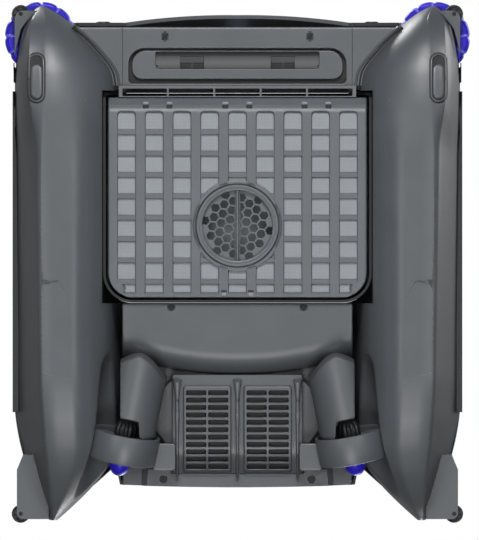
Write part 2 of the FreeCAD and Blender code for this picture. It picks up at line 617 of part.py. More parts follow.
def make_corners():
    """The corner wheels, the rollers with their brackets and pins, and the rubbing strips."""
    body = doc.addObject("PartDesign::Body", "corner_wheel_right")
    radius, groove, pin = size("wheel_radius"), size("wheel_groove"), size("wheel_pin") + size("running_gap")
    pad = body.newObject("PartDesign::Pad", "wheel_disc")
    pad.Profile = sketched(body, "wheel_outline", "wheel_z", (radius, 0), ((0, radius), (-radius, 0)),
                           ((0, -radius), (radius, 0)))
    bind(pad, Length="wheel_thick")
    cuts = {
        "wheel_scallop": [(radius + groove, 0), ((radius, groove), (radius - groove, 0)),
                          ((radius, -groove), (radius + groove, 0))],
        "wheel_bore": [(pin, 0), ((0, pin), (-pin, 0)), ((0, -pin), (pin, 0))],
    }
    for name, outline in cuts.items():
        pocket = body.newObject("PartDesign::Pocket", name)
        pocket.Profile = sketched(body, name + "_outline", "wheel_z", *outline)
        pocket.Reversed = True
        bind(pocket, Length="wheel_thick")
        body.Tip = pocket
        doc.recompute()
        if name == "wheel_scallop":
            ring = body.newObject("PartDesign::PolarPattern", "wheel_scallops")
            ring.Originals = [pocket]
            ring.Axis = (next(f for f in body.Origin.OriginFeatures if f.Role == "Z_Axis"), [""])
            ring.Angle = 360
            ring.Occurrences = 12
            body.Tip = ring
            doc.recompute()
    for axis, text in zip("xy", ("wheel_x", "wheel_y")):
        body.setExpression("Placement.Base." + axis, formula(text))
    both_sides(body)
    pin = rod("axle_pin", "wheel_pin", "wheel_thick + 15.6", ("wheel_x", "wheel_y", "wheel_z - 15"))
    head = rod("axle_head", 9, 1.5, ("wheel_x", "wheel_y", "wheel_z + wheel_thick + 0.4"))
    axle = fuse("axle_right", pin, head)
    outlines = {
        "front": [(205.2, -190), ((184, -190),), ((184, -232),), ((198, -232),),
                  ((203.5, -229), (205.2, -224))],
        "rear": [(203.2, 190.9), ((203.2, 230),), ((202, 234.4), (197, 236.4)), ((174, 236.4),),
                 ((174, 177),),
                 ((197.5, 177),)],
    }
    webs = {"front": ("-222", "-190"), "rear": ("182", "221")}
    pins, plates = [], []
    for where, outline in outlines.items():
        y = f"roller_{where}"
        solid = rod(f"roller_rod_{where}", "roller_radius", "roller_long", ("roller_x", y, "roller_z"))
        bore = rod(f"roller_bore_{where}", "roller_pin + running_gap", 30, ("roller_x", y, "roller_z - 5"))
        both_sides(cut(f"roller_{where}_right", solid, bore))
        pins.append(rod(f"roller_pin_{where}", "roller_pin", "roller_long + 6.4",
                        ("roller_x", y, "roller_z - 3.2")))
        lower = padded(f"plate_low_{where}", outline, "roller_z - 3.2", "roller_z - 0.3")
        upper = padded(f"plate_high_{where}", outline, "roller_z + roller_long + 0.3",
                       "roller_z + roller_long + 3.2")
        web = block(f"web_{where}", ("188", "196"), webs[where],
                    ("roller_z - 0.3", "roller_z + roller_long + 0.3"))
        space = rod(f"web_room_{where}", "roller_radius + 1.2", "roller_long", ("roller_x", y, "roller_z"))
        web = cut(f"web_cut_{where}", web, space)
        hole = rod(f"pin_hole_{where}", "roller_pin", 40, ("roller_x", y, "roller_z - 10"))
        blank = fuse(f"bracket_blank_{where}", lower, upper, web)
        plates.append(cut(f"bracket_{where}", blank, hole, doc.pontoon_form, doc.wheel_room))
    keep(pair("wheel_axles", group("axle_and_pins", axle, *pins)))
    keep(pair("roller_brackets", group("bracket_pair", *plates)))
    long_strip = block("strip_long", ("202", "207.4"), ("-158", "138"), ("80", "94.5"))
    short_strip = block("strip_short", ("202", "206.6"), ("-184", "-166"), ("80", "94.5"))
    strips = group("strip_blanks", long_strip, short_strip)
    keep(pair("rub_strips", cut("strips_right", strips, doc.pontoon_form, doc.wheel_room)))


def deck_outline(grow, z):
    """The deck's outline seen from above, scaled about the middle, as a wire at height z."""
    right = [
        ((0, -228.6), (56, -226.9), (104, -221.5)),
        ((104, -221.5), (150.5, -221.5)),
        ((150.5, -221.5), (189.4, -205.4), (205.5, -166.5)),
        ((205.5, -166.5), (205.5, 137)),
        ((205.5, 137), (193, 193), (171.5, 237)),
        ((171.5, 237), (143, 214.5), (112, 187)),
        ((112, 187), (108.5, 205)),
        ((108.5, 205), (56, 206.9), (0, 207.5)),
    ]
    edges = []
    for flip in (1, -1):
        for ends in right:
            points = [Vector(flip * x * grow, y * grow, z) for x, y in ends]
            edges.append((Part.LineSegment(*points) if len(points) == 2 else Part.Arc(*points)).toShape())
    return Part.Wire(Part.sortEdges(edges)[0])


def deck_form(inset):
    """The deck's outer form, or with an inset its hollow: a side wall, then a turned-in shoulder."""
    low, high = size("pontoon_top") + size("seal_thick"), size("deck_top") - inset
    wires = [deck_outline(grow * (1 - inset / 205), low + share * (high - low)) for share, grow in DECK]
    if inset:
        wires.insert(0, deck_outline(1 - inset / 205, low - 1))
    return Part.makeLoft(wires, True, True)


def make_deck():
    """The deck and the cowl over the bow, on their seal."""
    t = size("wall") + 0.6
    half, front, rear, bend = (size("well_" + word) for word in ("half", "front", "rear", "round"))
    hatch = padded("deck_hatch", rounded(half + 0.5, front - 0.5, rear + 0.5, 2.5, bend + 0.5), "90", "150")
    mouth = block("mouth_room", ("-cheek_out - 0.5", "cheek_out + 0.5"), ("-240", "well_front - 1"),
                  ("90", "bow_ceiling"))
    panel = block("panel_room", ("-panel_half", "panel_half"), ("panel_front", "panel_rear"),
                  ("deck_top - panel_sink", "150"))
    button = rod("button_room", "button_radius + 4.5", 20, ("0", "button_y", "deck_top - 5"))
    port = block("port_room", ("port_x - 11", "port_x + 11"), ("port_y - 8", "port_y + 8"),
                 ("deck_top - 9", "150"))
    eyes = pair("eye_rooms", rod("eye_room", "eye_radius", 14, ("eye_x", "-226", "eye_z"), REAR))
    outer = formed("deck_outer", deck_form(0))
    rooms = [formed("deck_inner", deck_form(t)), hatch, mouth, doc.wheel_rooms, panel, button, port, eyes]
    whole = cut("deck_whole", outer, *rooms)
    # The cowl meets the deck across the hatch, where the hatch's front corners end.
    cowl = block("cowl_room", ("-250", "250"), ("-250", "well_front + well_round"), ("90", "150"))
    keep(common("bow_cowl", whole, cowl))
    keep(cut("deck_shell", whole, cowl))
    rise = Vector(0, 0, size("seal_thick"))
    ring = formed("seal_outer", Part.Face(deck_outline(1, size("pontoon_top"))).extrude(rise))
    hole = formed("seal_inner", Part.Face(deck_outline(1 - t / 205, 94)).extrude(rise * 3))
    seal = cut("deck_seal", ring, hole, mouth, doc.wheel_rooms, hatch)
    keep(group("seals", seal, doc.shaft_seals))
    keep(pair("sonar_eyes", rod("eye_right", "eye_radius", 9, ("eye_x", "-222.6", "eye_z"), REAR)))


def make_deck_fittings():
    """The solar panel, the power button in its light ring, and the charging port under its cap."""
    outer = [("-panel_half + 0.3", "panel_half - 0.3"), ("panel_front + 0.3", "panel_rear - 0.3")]
    inner = [("-panel_half + 4", "panel_half - 4"), ("panel_front + 4", "panel_rear - 4")]
    base = "deck_top - panel_sink"
    frame = block("frame_blank", *outer, (base, "deck_top + 0.6"))
    keep(cut("solar_frame", frame, block("glass_room", *inner, (base + " + 0.8", "deck_top + 5"))))
    keep(block("solar_pane", *inner, (base + " + 0.8", "deck_top")), "solar_glass")
    ring = cut("light_ring", rod("ring_blank", "button_radius + 4.3", 5.6, ("0", "button_y", "deck_top - 5")),
               rod("ring_hole", "button_radius + 0.3", 9, ("0", "button_y", "deck_top - 4")))
    keep(ring, "status_light")
    keep(rod("power_button_rod", "button_radius", 3.4, ("0", "button_y", "deck_top - 2.2")), "power_button")
    socket = block("port_block", ("port_x - 10.7", "port_x + 10.7"), ("port_y - 7.7", "port_y + 7.7"),
                   ("deck_top - 9", "deck_top - 2"))
    keep(cut("charge_port", socket, rod("port_hole", 3.2, 6, ("port_x", "port_y", "deck_top - 6.5"))))
    keep(block("port_flap", ("port_x - 10.4", "port_x + 10.4"), ("port_y - 7.2", "port_y + 7.4"),
               ("deck_top - 1.6", "deck_top + 0.7")), "port_cap")


def window_grid():
    """The windows in the basket's floor: nine columns and nine rows, clear of the dispenser's seat."""
    wide, long, floor = size("window_wide"), size("window_long"), size("basket_floor")
    boxes = []
    for column in range(-4, 5):
        for line in range(9):
            x, y = column * size("window_pitch_x"), size("window_start") + line * size("window_pitch_y")
            front, rear = y - long / 2, min(y + long / 2, size("basket_rear") - 4)
            trim = 5 if line == 8 and abs(column) == 4 else 0
            low = x - wide / 2 + (trim if column < 0 else 0)
            boxes.append(Part.makeBox(wide - trim, rear - front, 12, Vector(low, front, floor - 5)))
    seat = Part.makeCylinder(size("cap_radius") + 3.4, 40, Vector(0, size("cap_y"), floor - 15))
    return Part.makeCompound([piece for box in boxes for piece in box.cut(seat).Solids])


def make_tub():
    """The lattice tub with its mesh, and the lugs of its lid and bail handle on its top frame."""
    half, front, rear, bend = (size("basket_" + word) for word in ("half", "front", "rear", "round"))
    t, floor = size("basket_wall"), size("basket_floor")
    tub = padded("tub_blank", rounded(half, front, rear, 2, bend), "basket_floor", "basket_rim - frame_thick")
    frame = padded("tub_frame", rounded(half + 4, front - 4, rear + 4, 2, bend + 4),
                   "basket_rim - frame_thick",
                   "basket_rim")
    cavity = padded("tub_cavity", rounded(half - t, front + t, rear - t, 1, bend - t),
                    "basket_floor + basket_wall",
                    "basket_rim - frame_thick")
    nose, low = size("basket_nose"), floor + t
    outside = [(front - 1, floor - 1), ((front + nose + 1, floor - 1),), ((front - 1, floor + nose + 1),)]
    inside = [(front, low - 1), ((front + t + nose, low - 1),), ((front + t + nose, low),),
              ((front + t, low + nose),),
              ((front, low + nose),)]
    chamfer = padded("nose_outside", outside, "-130", "130", plane="YZ_Plane")
    fillet = padded("nose_inside", inside, "-130", "130", plane="YZ_Plane")
    mouth = padded("tub_mouth", rounded(size("basket_open"), -136, 14, 8, 8), "basket_rim - 10",
                   "basket_rim + 1")
    windows = formed("floor_windows", window_grid())
    seat = rod("cap_seat", "cap_radius + 0.4", 20, ("0", "cap_y", "basket_floor - 10"))
    inlet = block("tub_inlet", ("-96", "96"), ("basket_front - 5", "basket_front + 4"), ("64", "112"))
    sides = []
    for i in range(7):
        low = f"basket_front + 14 + {i} * 22"
        sides.append(block(f"side_window_{i}", ("-130", "130"), (low, low + " + 17"), ("56", "118")))
    for i in range(8):
        ends = (f"{i - 4} * 22 + 2.5", f"{i - 3} * 22 - 2.5")
        sides.append(block(f"rear_window_{i}", ends, ("basket_rear - 6", "basket_rear + 5"), ("56", "118")))
    # Lugs in pairs: on both sides of each lid knuckle, then on both sides of each eye of the bail.
    lugs = []
    for i, low in enumerate((41.7, 74, 106.3, 115.1)):
        ends, flat = (f"{low}", f"{low} + 3.6"), ("hinge_y - hinge_pin * 2", "hinge_y + hinge_pin * 2")
        lugs.append(cross_rod(f"lug_{i}", "hinge_pin * 2", *ends, "hinge_y", "hinge_z"))
        lugs.append(block(f"lug_foot_{i}", ends, flat, ("basket_rim - 1", "hinge_z")))
    lugs = fuse("lugs_right", *lugs)
    bore = cross_rod("lug_bore", "hinge_pin", "-130", "130", "hinge_y", "hinge_z")
    solid = fuse("tub_outer", tub, frame, lugs, mirror("lugs_left", lugs))
    hollow = cut("tub_hollow", cavity, fillet)
    whole = cut("basket_whole", solid, hollow, chamfer, mouth, windows, seat, inlet, bore, *sides)
    # The lattice floor clips on below the walls, and the top frame lies on them.
    ends = [("-150", "150"), ("basket_front - 20", "basket_rear + 20")]
    floor_slab = block("floor_slab", *ends, ("basket_floor - 5", "basket_floor + basket_wall"))
    frame_slab = block("frame_slab", *ends, ("basket_rim - frame_thick", "basket_rim + 30"))
    keep(common("basket_floor", whole, floor_slab))
    keep(common("basket_frame", whole, frame_slab))
    keep(cut("basket_tub", whole, floor_slab, frame_slab))
    gap, skin = t + 0.2, t + 1
    outer = padded("mesh_outer", rounded(half - gap, front + gap, rear - gap, 1, bend - gap),
                   f"{floor + t + 0.2}", "128")
    inner = padded("mesh_inner", rounded(half - skin, front + skin, rear - skin, 1, bend - skin),
                   f"{floor + t + 1}", "130")
    hole = rod("mesh_hole", "cage_foot + 0.6", 20, ("0", "cap_y", "basket_floor - 5"))
    keep(cut("basket_mesh", outer, inner, hole, inlet, fillet))


def make_dispenser():
    """The tablet dispenser: a twist cap with a grip bar under a fixed grille, and a cage for the tablets."""
    at = ("0", "cap_y", "basket_floor - 0.5")
    flange = rod("cap_flange_disc", "cap_flange", 1.2, ("0", "cap_y", "basket_floor + 2.8"))
    hole = rod("cap_hole", "cap_open", 20, ("0", "cap_y", "basket_floor - 9"))
    ring = cut("cap_ring", fuse("cap_blank", rod("cap_disc", "cap_radius", 4.5, at), flange), hole)
    bar = block("cap_grip", ("-cap_bar / 2", "cap_bar / 2"), ("cap_y - cap_open - 1", "cap_y + cap_open + 1"),
                ("basket_floor", "basket_floor + 4"))
    keep(fuse("dispenser_cap", ring, bar))
    middle, floor = Vector(0, size("cap_y"), 0), size("basket_floor")
    foot, inner = size("cage_foot"), size("cap_flange") + 0.4
    plate = Part.makeCylinder(foot, 3.2, middle + Vector(0, 0, floor + 2.5))
    plate = plate.cut(Part.makeCylinder(inner, 1.8, middle + Vector(0, 0, floor + 2.5)))
    turn, pitch, reach = math.radians(size("hex_turn")), size("hex_pitch"), size("hex_across") / math.sqrt(3)
    holes = []
    for i in range(-5, 6):
        for j in range(-5, 6):
            u, w = pitch * math.sqrt(0.75) * i, pitch * (j + 0.5 * (i % 2))
            if math.hypot(u, w) > size("cap_open") - 1:
                continue
            centre = Vector(u * math.cos(turn) - w * math.sin(turn), u * math.sin(turn) + w * math.cos(turn),
                            floor)
            angles = [turn + math.pi / 3 * k for k in range(7)]
            points = [middle + centre + Vector(reach * math.cos(a), reach * math.sin(a), 2) for a in angles]
            holes.append(Part.Face(Part.makePolygon(points)).extrude(Vector(0, 0, 6)))
    keep(formed("dispenser_grille", plate.cut(Part.makeCompound(holes))))
    cage = cut("cage_wall", rod("cage_blank", "cap_radius - 1", 26, ("0", "cap_y", "basket_floor + 5.7")),
               rod("cage_hole", "cap_radius - 3", 24.4, ("0", "cap_y", "basket_floor + 5.6")))
    slits = []
    for i in range(4):
        low = f"cap_y - 21 + {i} * 12"
        slits.append(block(f"cage_slit_{i}", ("-50", "50"), (low, low + " + 6"),
                           ("basket_floor + 12", "basket_floor + 26")))
    keep(cut("tablet_cage", cage, *slits))


def make_lid_and_bail():
    """The basket's lid and its bail handle, which turn on one hinge line."""
    y, z = "hinge_y", "hinge_z"
    plate = padded("lid_plate", rounded(size("lid_half"), size("lid_front"), size("hinge_y"), 10, 1),
                   "basket_rim + 0.3", "basket_rim + 0.3 + lid_thick")
    knuckles = []
    for i, low in enumerate((-73.6, 45.7)):
        knuckles.append(cross_rod(f"knuckle_{i}", "hinge_pin * 2", f"{low}", f"{low} + 27.9", y, z))
    bore = cross_rod("knuckle_bore", "hinge_pin + running_gap", "-100", "100", y, z)
    notches = []
    for i, low in enumerate((-78, -45.7, 41.3, 73.6)):
        ends = (f"{low}", f"{low} + 4.4")
        notches.append(block(f"lid_notch_{i}", ends, ("hinge_y - 5.5", "hinge_y + 8"), ("basket_rim", "150")))
    keep(cut("basket_lid", fuse("lid_blank", plate, *knuckles), bore, *notches))
    leg = rod("bail_leg", "bail_radius", "hinge_y - bail_front", ("bail_x", "bail_front", z), REAR)
    corner = doc.addObject("Part::Sphere", "bail_corner")
    bind(corner, Radius="bail_radius")
    place(corner, ("bail_x", "bail_front", z))
    eye = cross_rod("bail_eye", "hinge_pin * 2.4", "bail_x - 2.2", "bail_x + 2.2", y, z)
    side = fuse("bail_right", leg, corner, eye)
    grip = cross_rod("bail_grip", "bail_radius", "-bail_x", "bail_x", "bail_front", z)
    room = cross_rod("bail_bore", "hinge_pin + running_gap", "-150", "150", y, z)
    keep(cut("bail_handle", fuse("bail_blank", side, mirror("bail_left", side), grip), room))
    pins = [cross_rod("lid_pin", "hinge_pin", "41.7", "77.6", y, z),
            cross_rod("bail_pin", "hinge_pin", "106.3", "118.7", y, z)]
    keep(pair("hinge_pins", group("pins_right", *pins)))


def make_inside():
    """The battery, the sealed electronics case, its board, and the screws."""
    base = "stern_floor + wall + 0.3"
    case = block("case_blank", ("-80", "80"), ("122", "186"), (base, "93"))
    keep(cut("electronics_case", case,
             block("case_room", ("-78", "78"), ("124", "184"), (base + " + 2", "91"))))
    keep(block("board_plate", ("-60", "60"), ("130", "178"), ("80", "81.6")), "control_board")
    cells = []
    for level, z in enumerate(("belly_floor + wall + 9.4", "belly_floor + wall + 27.8")):
        for side, low in enumerate(("-65.5", "0.5")):
            cells.append(cross_rod(f"cell_{level}_{side}", 9, low, low + " + 65", "50", z))
    keep(group("battery_cells", *cells))
    spots = {
        "bow": ("66.7", "-207.9", "bow_floor + 0.4"),
        "belly": ("60.9", "41", "belly_floor + 0.4"),
        "pod": ("93.6", "112.3", "thrust_z - pod_radius + 0.4"),
        "rim": ("68.4", "199.6", "66.4"),
    }
    screws = group("screws_right", *[rod("screw_" + name, 2.4, 1.5, at) for name, at in spots.items()])
    keep(pair("hull_screws", screws))


def check_and_write():
    """Stops if any object failed, then writes one file for each sub-part."""
    failed = [item.Label for item in doc.Objects if {"Invalid", "Error"} & set(item.State)]
    assert not failed, f"these objects failed: {failed}"
    os.makedirs(OUT, exist_ok=True)
    for item in kept:
        shape = item.Shape
        assert not shape.isNull() and shape.isValid() and shape.Solids, f"{item.Label} has no valid solid"
        shape.exportStep(os.path.join(OUT, item.Label + ".step"))
    print(len(kept), "sub-parts")


make_shared_rooms()
make_pontoons()
make_bow()
make_paddle()
make_well()
make_stern()
make_thrusters()
make_corners()
make_deck()
make_deck_fittings()
make_tub()
make_dispenser()
make_lid_and_bail()
make_inside()
doc.recompute()
check_and_write()
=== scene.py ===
import json
import math

import bmesh
import bpy
import numpy as np
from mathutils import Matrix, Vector


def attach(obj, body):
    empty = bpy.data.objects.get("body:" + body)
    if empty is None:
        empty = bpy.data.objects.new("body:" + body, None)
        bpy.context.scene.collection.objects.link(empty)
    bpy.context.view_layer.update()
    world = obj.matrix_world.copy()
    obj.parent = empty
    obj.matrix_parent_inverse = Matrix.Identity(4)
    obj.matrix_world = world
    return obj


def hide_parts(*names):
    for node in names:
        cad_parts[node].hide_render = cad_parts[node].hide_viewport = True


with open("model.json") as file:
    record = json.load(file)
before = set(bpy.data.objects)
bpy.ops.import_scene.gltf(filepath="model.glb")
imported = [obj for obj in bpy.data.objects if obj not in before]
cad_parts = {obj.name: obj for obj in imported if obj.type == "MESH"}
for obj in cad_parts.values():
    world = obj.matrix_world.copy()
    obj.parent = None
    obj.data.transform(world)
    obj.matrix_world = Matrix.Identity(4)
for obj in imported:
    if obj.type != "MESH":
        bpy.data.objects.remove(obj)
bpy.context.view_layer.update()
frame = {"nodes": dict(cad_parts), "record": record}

bl_info = {
    "name": "Pool cleaner",
    "version": (1, 0, 0),
    "blender": (4, 5, 0),
    "location": "View3D > Sidebar > Pool cleaner",
    "description": "Adds the finished surfaces of a floating pool cleaner to its packed frame",
    "category": "Object",
}

MM = 0.001
made = {}


# ---------------------------------------------------------------- colours, sizes

def linear(code):
    """The linear colour of an sRGB hex code."""
    parts = [int(code[i:i + 2], 16) / 255 for i in (1, 3, 5)]
    return [p / 12.92 if p <= 0.04045 else ((p + 0.055) / 1.055) ** 2.4 for p in parts]


def colour(name, description, code):
    """A colour that a user can change, given as a hex code."""
    return bpy.props.FloatVectorProperty(
        name=name, description=description, default=linear(code), size=3, min=0, max=1, subtype="COLOR")


def length(name, description, millimetres):
    """A length that a user can change, given in millimetres."""
    return bpy.props.FloatProperty(
        name=name, description=description, default=millimetres * MM, subtype="DISTANCE", unit="LENGTH")


class CleanerSizes(bpy.types.PropertyGroup):
    """Sizes of the surfaces that stand for the frame's plain solids."""
    pontoon_top: length("Pontoon top", "Height of the pontoons' top edge", 95)
    chine_round: length("Chine rounding", "Rounding between a pontoon's side and its keel", 3)
    deck_low: length("Deck edge", "Height of the deck's lower edge", 96.5)
    deck_shoulder: length("Deck shoulder", "Height where the deck's side turns in", 114)
    deck_top: length("Deck top", "Height of the deck", 140)
    bow_floor: length("Bow panel", "Height of the bow panel's underside", 52)
    belly_floor: length("Belly", "Height of the belly's underside", 42)
    belly_round: length("Belly rounding", "Radius of the belly's rear edge", 22)
    stern_floor: length("Stern floor", "Height of the stern hull's underside", 72)
    vent_floor: length("Vent floor", "Height of the vent housing's underside", 48)
    lattice_face: length("Lattice face", "Height of the basket lattice's lower face", 39.3)
    wheel_radius: length("Corner wheel", "Radius of the corner wheels", 33.1)
    duct_radius: length("Duct", "Outer radius of a thruster's duct", 32)
    pod_radius: length("Motor pod", "Radius of a thruster's motor pod", 27)
    bail_radius: length("Bail handle", "Radius of the bail handle's rod", 2.6)


class CleanerColours(bpy.types.PropertyGroup):
    """Colours of the finishes."""
    hull: colour("Hull", "Satin ABS of the hull", "#45484b")
    deck: colour("Deck", "Satin ABS of the deck", "#45484b")
    lattice: colour("Lattice", "Matte polypropylene of the basket", "#4d5154")
    # Painted shade: near black, standing for the shade inside slots, pockets and gaps.
    inside: colour("Inside", "Unlit insides of slots and pockets", "#0b0c0d")
    # Painted shade: a dark grey standing for the shade on parts set deep in the hull, such as the bow tray
    # and the mouth's cheeks.
    shade: colour("Shade", "Painted shade on the parts set deep in the hull", "#232527")
    mesh: colour("Mesh", "Woven nylon in the basket's windows", "#73787b")
    blue: colour("Blue", "Polyurethane of the wheels and cones", "#2114b0")
    # Paler blue: wear at the wheels' rims, and a painted highlight along the ribs on their faces.
    blue_wear_and_sheen: colour("Blue edge", "Paler blue: wear at the wheels' rims, painted highlight on their ribs", "#8079e6")
    rubber: colour("Rubber", "Rollers, strips and seals", "#151618")
    smoked: colour("Smoked", "Clear polycarbonate of the lid", "#3c4448")
    cells: colour("Cells", "Solar cells", "#0b1128")
    light: colour("Light", "Frosted light guide", "#cfe4f5")
    steel: colour("Steel", "Turned stainless steel", "#b4b6ba")
    foam: colour("Foam", "Closed-cell foam", "#d9d7cb")
    board: colour("Board", "Solder mask", "#12492a")
    wrap: colour("Wrap", "Shrink wrap of the cells", "#20507f")
    floor: colour("Floor", "Studio floor", "#e9ebee")


# ---------------------------------------------------------------- finishes

def add(tree, kind, inputs=None, **settings):
    """Adds a node with its settings, and fills its inputs with values or links."""
    node = tree.nodes.new(kind)
    for key, value in settings.items():
        setattr(node, key, value)
    for key, value in (inputs or {}).items():
        if isinstance(value, bpy.types.NodeSocket):
            tree.links.new(value, node.inputs[key])
        else:
            node.inputs[key].default_value = value
    return node


def blank(name):
    """An empty material with its tree and the place of a point on the piece."""
    material = bpy.data.materials.new(name)
    material.use_nodes = True
    tree = material.node_tree
    tree.nodes.clear()
    return material, tree, add(tree, "ShaderNodeTexCoord").outputs["Object"]


def close(material, tree, **sockets):
    """Ends a material in the one shader whose sockets are given."""
    named = {key.replace("_", " ").title().replace("Ior", "IOR"): value for key, value in sockets.items()}
    shader = add(tree, "ShaderNodeBsdfPrincipled", named)
    add(tree, "ShaderNodeOutputMaterial", {"Surface": shader.outputs["BSDF"]})
    return material


def noise(tree, place, millimetres, detail=2.0, roughness=0.5):
    """Noise whose lumps are about that many millimetres across."""
    inputs = {"Vector": place, "Scale": 1 / (millimetres * MM), "Detail": detail, "Roughness": roughness}
    return add(tree, "ShaderNodeTexNoise", inputs).outputs["Fac"]


def spread(tree, value, low, high, start=0.3, end=0.7):
    """A value stretched from start..end to low..high."""
    inputs = {"Value": value, "From Min": start, "From Max": end, "To Min": low, "To Max": high}
    return add(tree, "ShaderNodeMapRange", inputs).outputs["Result"]


def mixed(tree, factor, first, second):
    """Two colours mixed by a factor."""
    node = add(tree, "ShaderNodeMix", data_type="RGBA")
    for socket, value in ((node.inputs["Factor"], factor), (node.inputs[6], first), (node.inputs[7], second)):
        if isinstance(value, bpy.types.NodeSocket):
            tree.links.new(value, socket)
        elif socket.type == "RGBA":
            socket.default_value = (*value, 1)
        else:
            socket.default_value = value
    return node.outputs[2]


def scaled(rgb, share):
    """A colour made lighter or darker by a share."""
    return [min(1, c * share) for c in rgb]


def moulded(name, rgb, rough, grain, depth, **shader):
    """A moulded plastic: slow shading from the melt's flow, and a fine spark-eroded grain in its roughness
    and bump."""
    material, tree, place = blank(name)
    flow = noise(tree, place, 38, 3)
    speck = noise(tree, place, grain, 4, 0.65)
    tone = mixed(tree, spread(tree, flow, 0, 1), scaled(rgb, 0.92), scaled(rgb, 1.07))
    tone = mixed(tree, spread(tree, speck, 0, 0.22), tone, scaled(rgb, 1.35))
    gloss = spread(tree, speck, rough - 0.06, rough + 0.07)
    bump = add(tree, "ShaderNodeBump", {"Height": speck, "Strength": 0.35, "Distance": depth * MM})
    return close(material, tree, base_color=tone, roughness=gloss, normal=bump.outputs["Normal"], **shader)


def woven_nylon(rgb):
    """Plain-woven nylon net: two crossed sets of threads, drawn 1.3 mm apart because the real 0.5 mm is too
    fine."""
    material, tree, place = blank("Nylon net, plain woven")
    threads = []
    for axis in ("X", "Y"):
        inputs = {"Vector": place, "Scale": 1 / (1.3 * MM) / 20 * 3.1416 * 2, "Distortion": 0}
        threads.append(add(tree, "ShaderNodeTexWave", inputs, bands_direction=axis).outputs["Fac"])
    both = add(tree, "ShaderNodeMath", operation="MAXIMUM")
    for socket, thread in zip(both.inputs, threads):
        tree.links.new(thread, socket)
    weave = both.outputs["Value"]
    cloud = noise(tree, place, 30, 2)
    tone = mixed(tree, spread(tree, weave, 0, 1, 0.2, 0.9), scaled(rgb, 0.72), scaled(rgb, 1.1))
    tone = mixed(tree, spread(tree, cloud, 0, 0.3), tone, scaled(rgb, 1.2))
    bump = add(tree, "ShaderNodeBump", {"Height": weave, "Strength": 0.5, "Distance": 0.25 * MM})
    return close(material, tree, base_color=tone, roughness=0.6, sheen_weight=0.2,
                 normal=bump.outputs["Normal"])


def blue_urethane(rgb, edge):
    """Cast polyurethane: deep blue with a soft gloss, and a paler blue laid on by a per-point share: wear
    where the rims rub on the pool wall, and a painted highlight along the ribs."""
    material, tree, place = blank("Polyurethane, cast blue")
    # A per-point share of paler blue: wear at the rims and painted highlight on the ribs.
    wear_and_sheen = add(tree, "ShaderNodeAttribute", attribute_name="wear_and_sheen").outputs["Fac"]
    flow = noise(tree, place, 14, 3)
    scuff = noise(tree, place, 1.1, 5, 0.7)
    tone = mixed(tree, spread(tree, flow, 0, 1), scaled(rgb, 0.85), scaled(rgb, 1.15))
    tone = mixed(tree, wear_and_sheen, tone, edge)
    bump = add(tree, "ShaderNodeBump", {"Height": scuff, "Strength": 0.3, "Distance": 0.08 * MM})
    return close(material, tree, base_color=tone, roughness=spread(tree, scuff, 0.28, 0.42),
                 normal=bump.outputs["Normal"], subsurface_weight=0.08, subsurface_scale=0.004)


def smoked_polycarbonate(rgb):
    """Injection-moulded clear polycarbonate with a grey dye: glossy, a little wavy, with wiped-on haze."""
    material, tree, place = blank("Polycarbonate, smoked clear")
    haze = noise(tree, place, 22, 4, 0.6)
    bump = add(tree, "ShaderNodeBump",
               {"Height": noise(tree, place, 60, 1), "Strength": 0.2, "Distance": 0.3 * MM})
    tone = mixed(tree, spread(tree, haze, 0, 1), scaled(rgb, 0.9), scaled(rgb, 1.15))
    return close(material, tree, base_color=tone, roughness=spread(tree, haze, 0.06, 0.2), ior=1.585,
                 transmission_weight=0.8, normal=bump.outputs["Normal"])


def solar_cells(rgb):
    """Cells 36.4 mm square under a resin dome: dark silicon, silver bus bars and collector fingers, pale
    gaps."""
    material, tree, place = blank("Silicon cells under resin")
    split = add(tree, "ShaderNodeSeparateXYZ", {"Vector": place})

    def bars(axis, pitch, half, shift=0.0):
        """1 on bars of half a width at every pitch along an axis, in millimetres."""
        moved = add(tree, "ShaderNodeMath", {0: split.outputs[axis], 1: (shift + 1000 * pitch) * MM},
                    operation="ADD")
        turn = add(tree, "ShaderNodeMath", {0: moved.outputs[0], 1: pitch * MM}, operation="MODULO")
        off = add(tree, "ShaderNodeMath", {0: turn.outputs[0], 1: pitch / 2 * MM}, operation="SUBTRACT")
        size = add(tree, "ShaderNodeMath", {0: off.outputs[0]}, operation="ABSOLUTE")
        return add(tree, "ShaderNodeMath", {0: size.outputs[0], 1: half * MM},
                   operation="LESS_THAN").outputs[0]

    crystal = add(tree, "ShaderNodeTexVoronoi", {"Vector": place, "Scale": 1 / (7 * MM)}).outputs["Color"]
    tone = mixed(tree, spread(tree, noise(tree, place, 9, 2), 0, 1), scaled(rgb, 0.7), scaled(rgb, 1.5))
    tone = mixed(tree, 0.05, tone, crystal)
    for axis, pitch, half, shift, share in (("X", 2.43, 0.12, 0, 0.35), ("Y", 18.2, 0.5, 0, 0.8),
                                            ("X", 36.45, 0.7, 0, 1), ("Y", 36.45, 0.7, -109.15, 1)):
        line = bars(axis, pitch, half, shift)
        weight = add(tree, "ShaderNodeMath", {0: line, 1: share}, operation="MULTIPLY").outputs[0]
        tone = mixed(tree, weight, tone, linear("#a9adb2") if share < 1 else linear("#3c4250"))
    return close(material, tree, base_color=tone,
                 roughness=spread(tree, noise(tree, place, 50, 3), 0.08, 0.2),
                 coat_weight=0.6, coat_roughness=0.05)


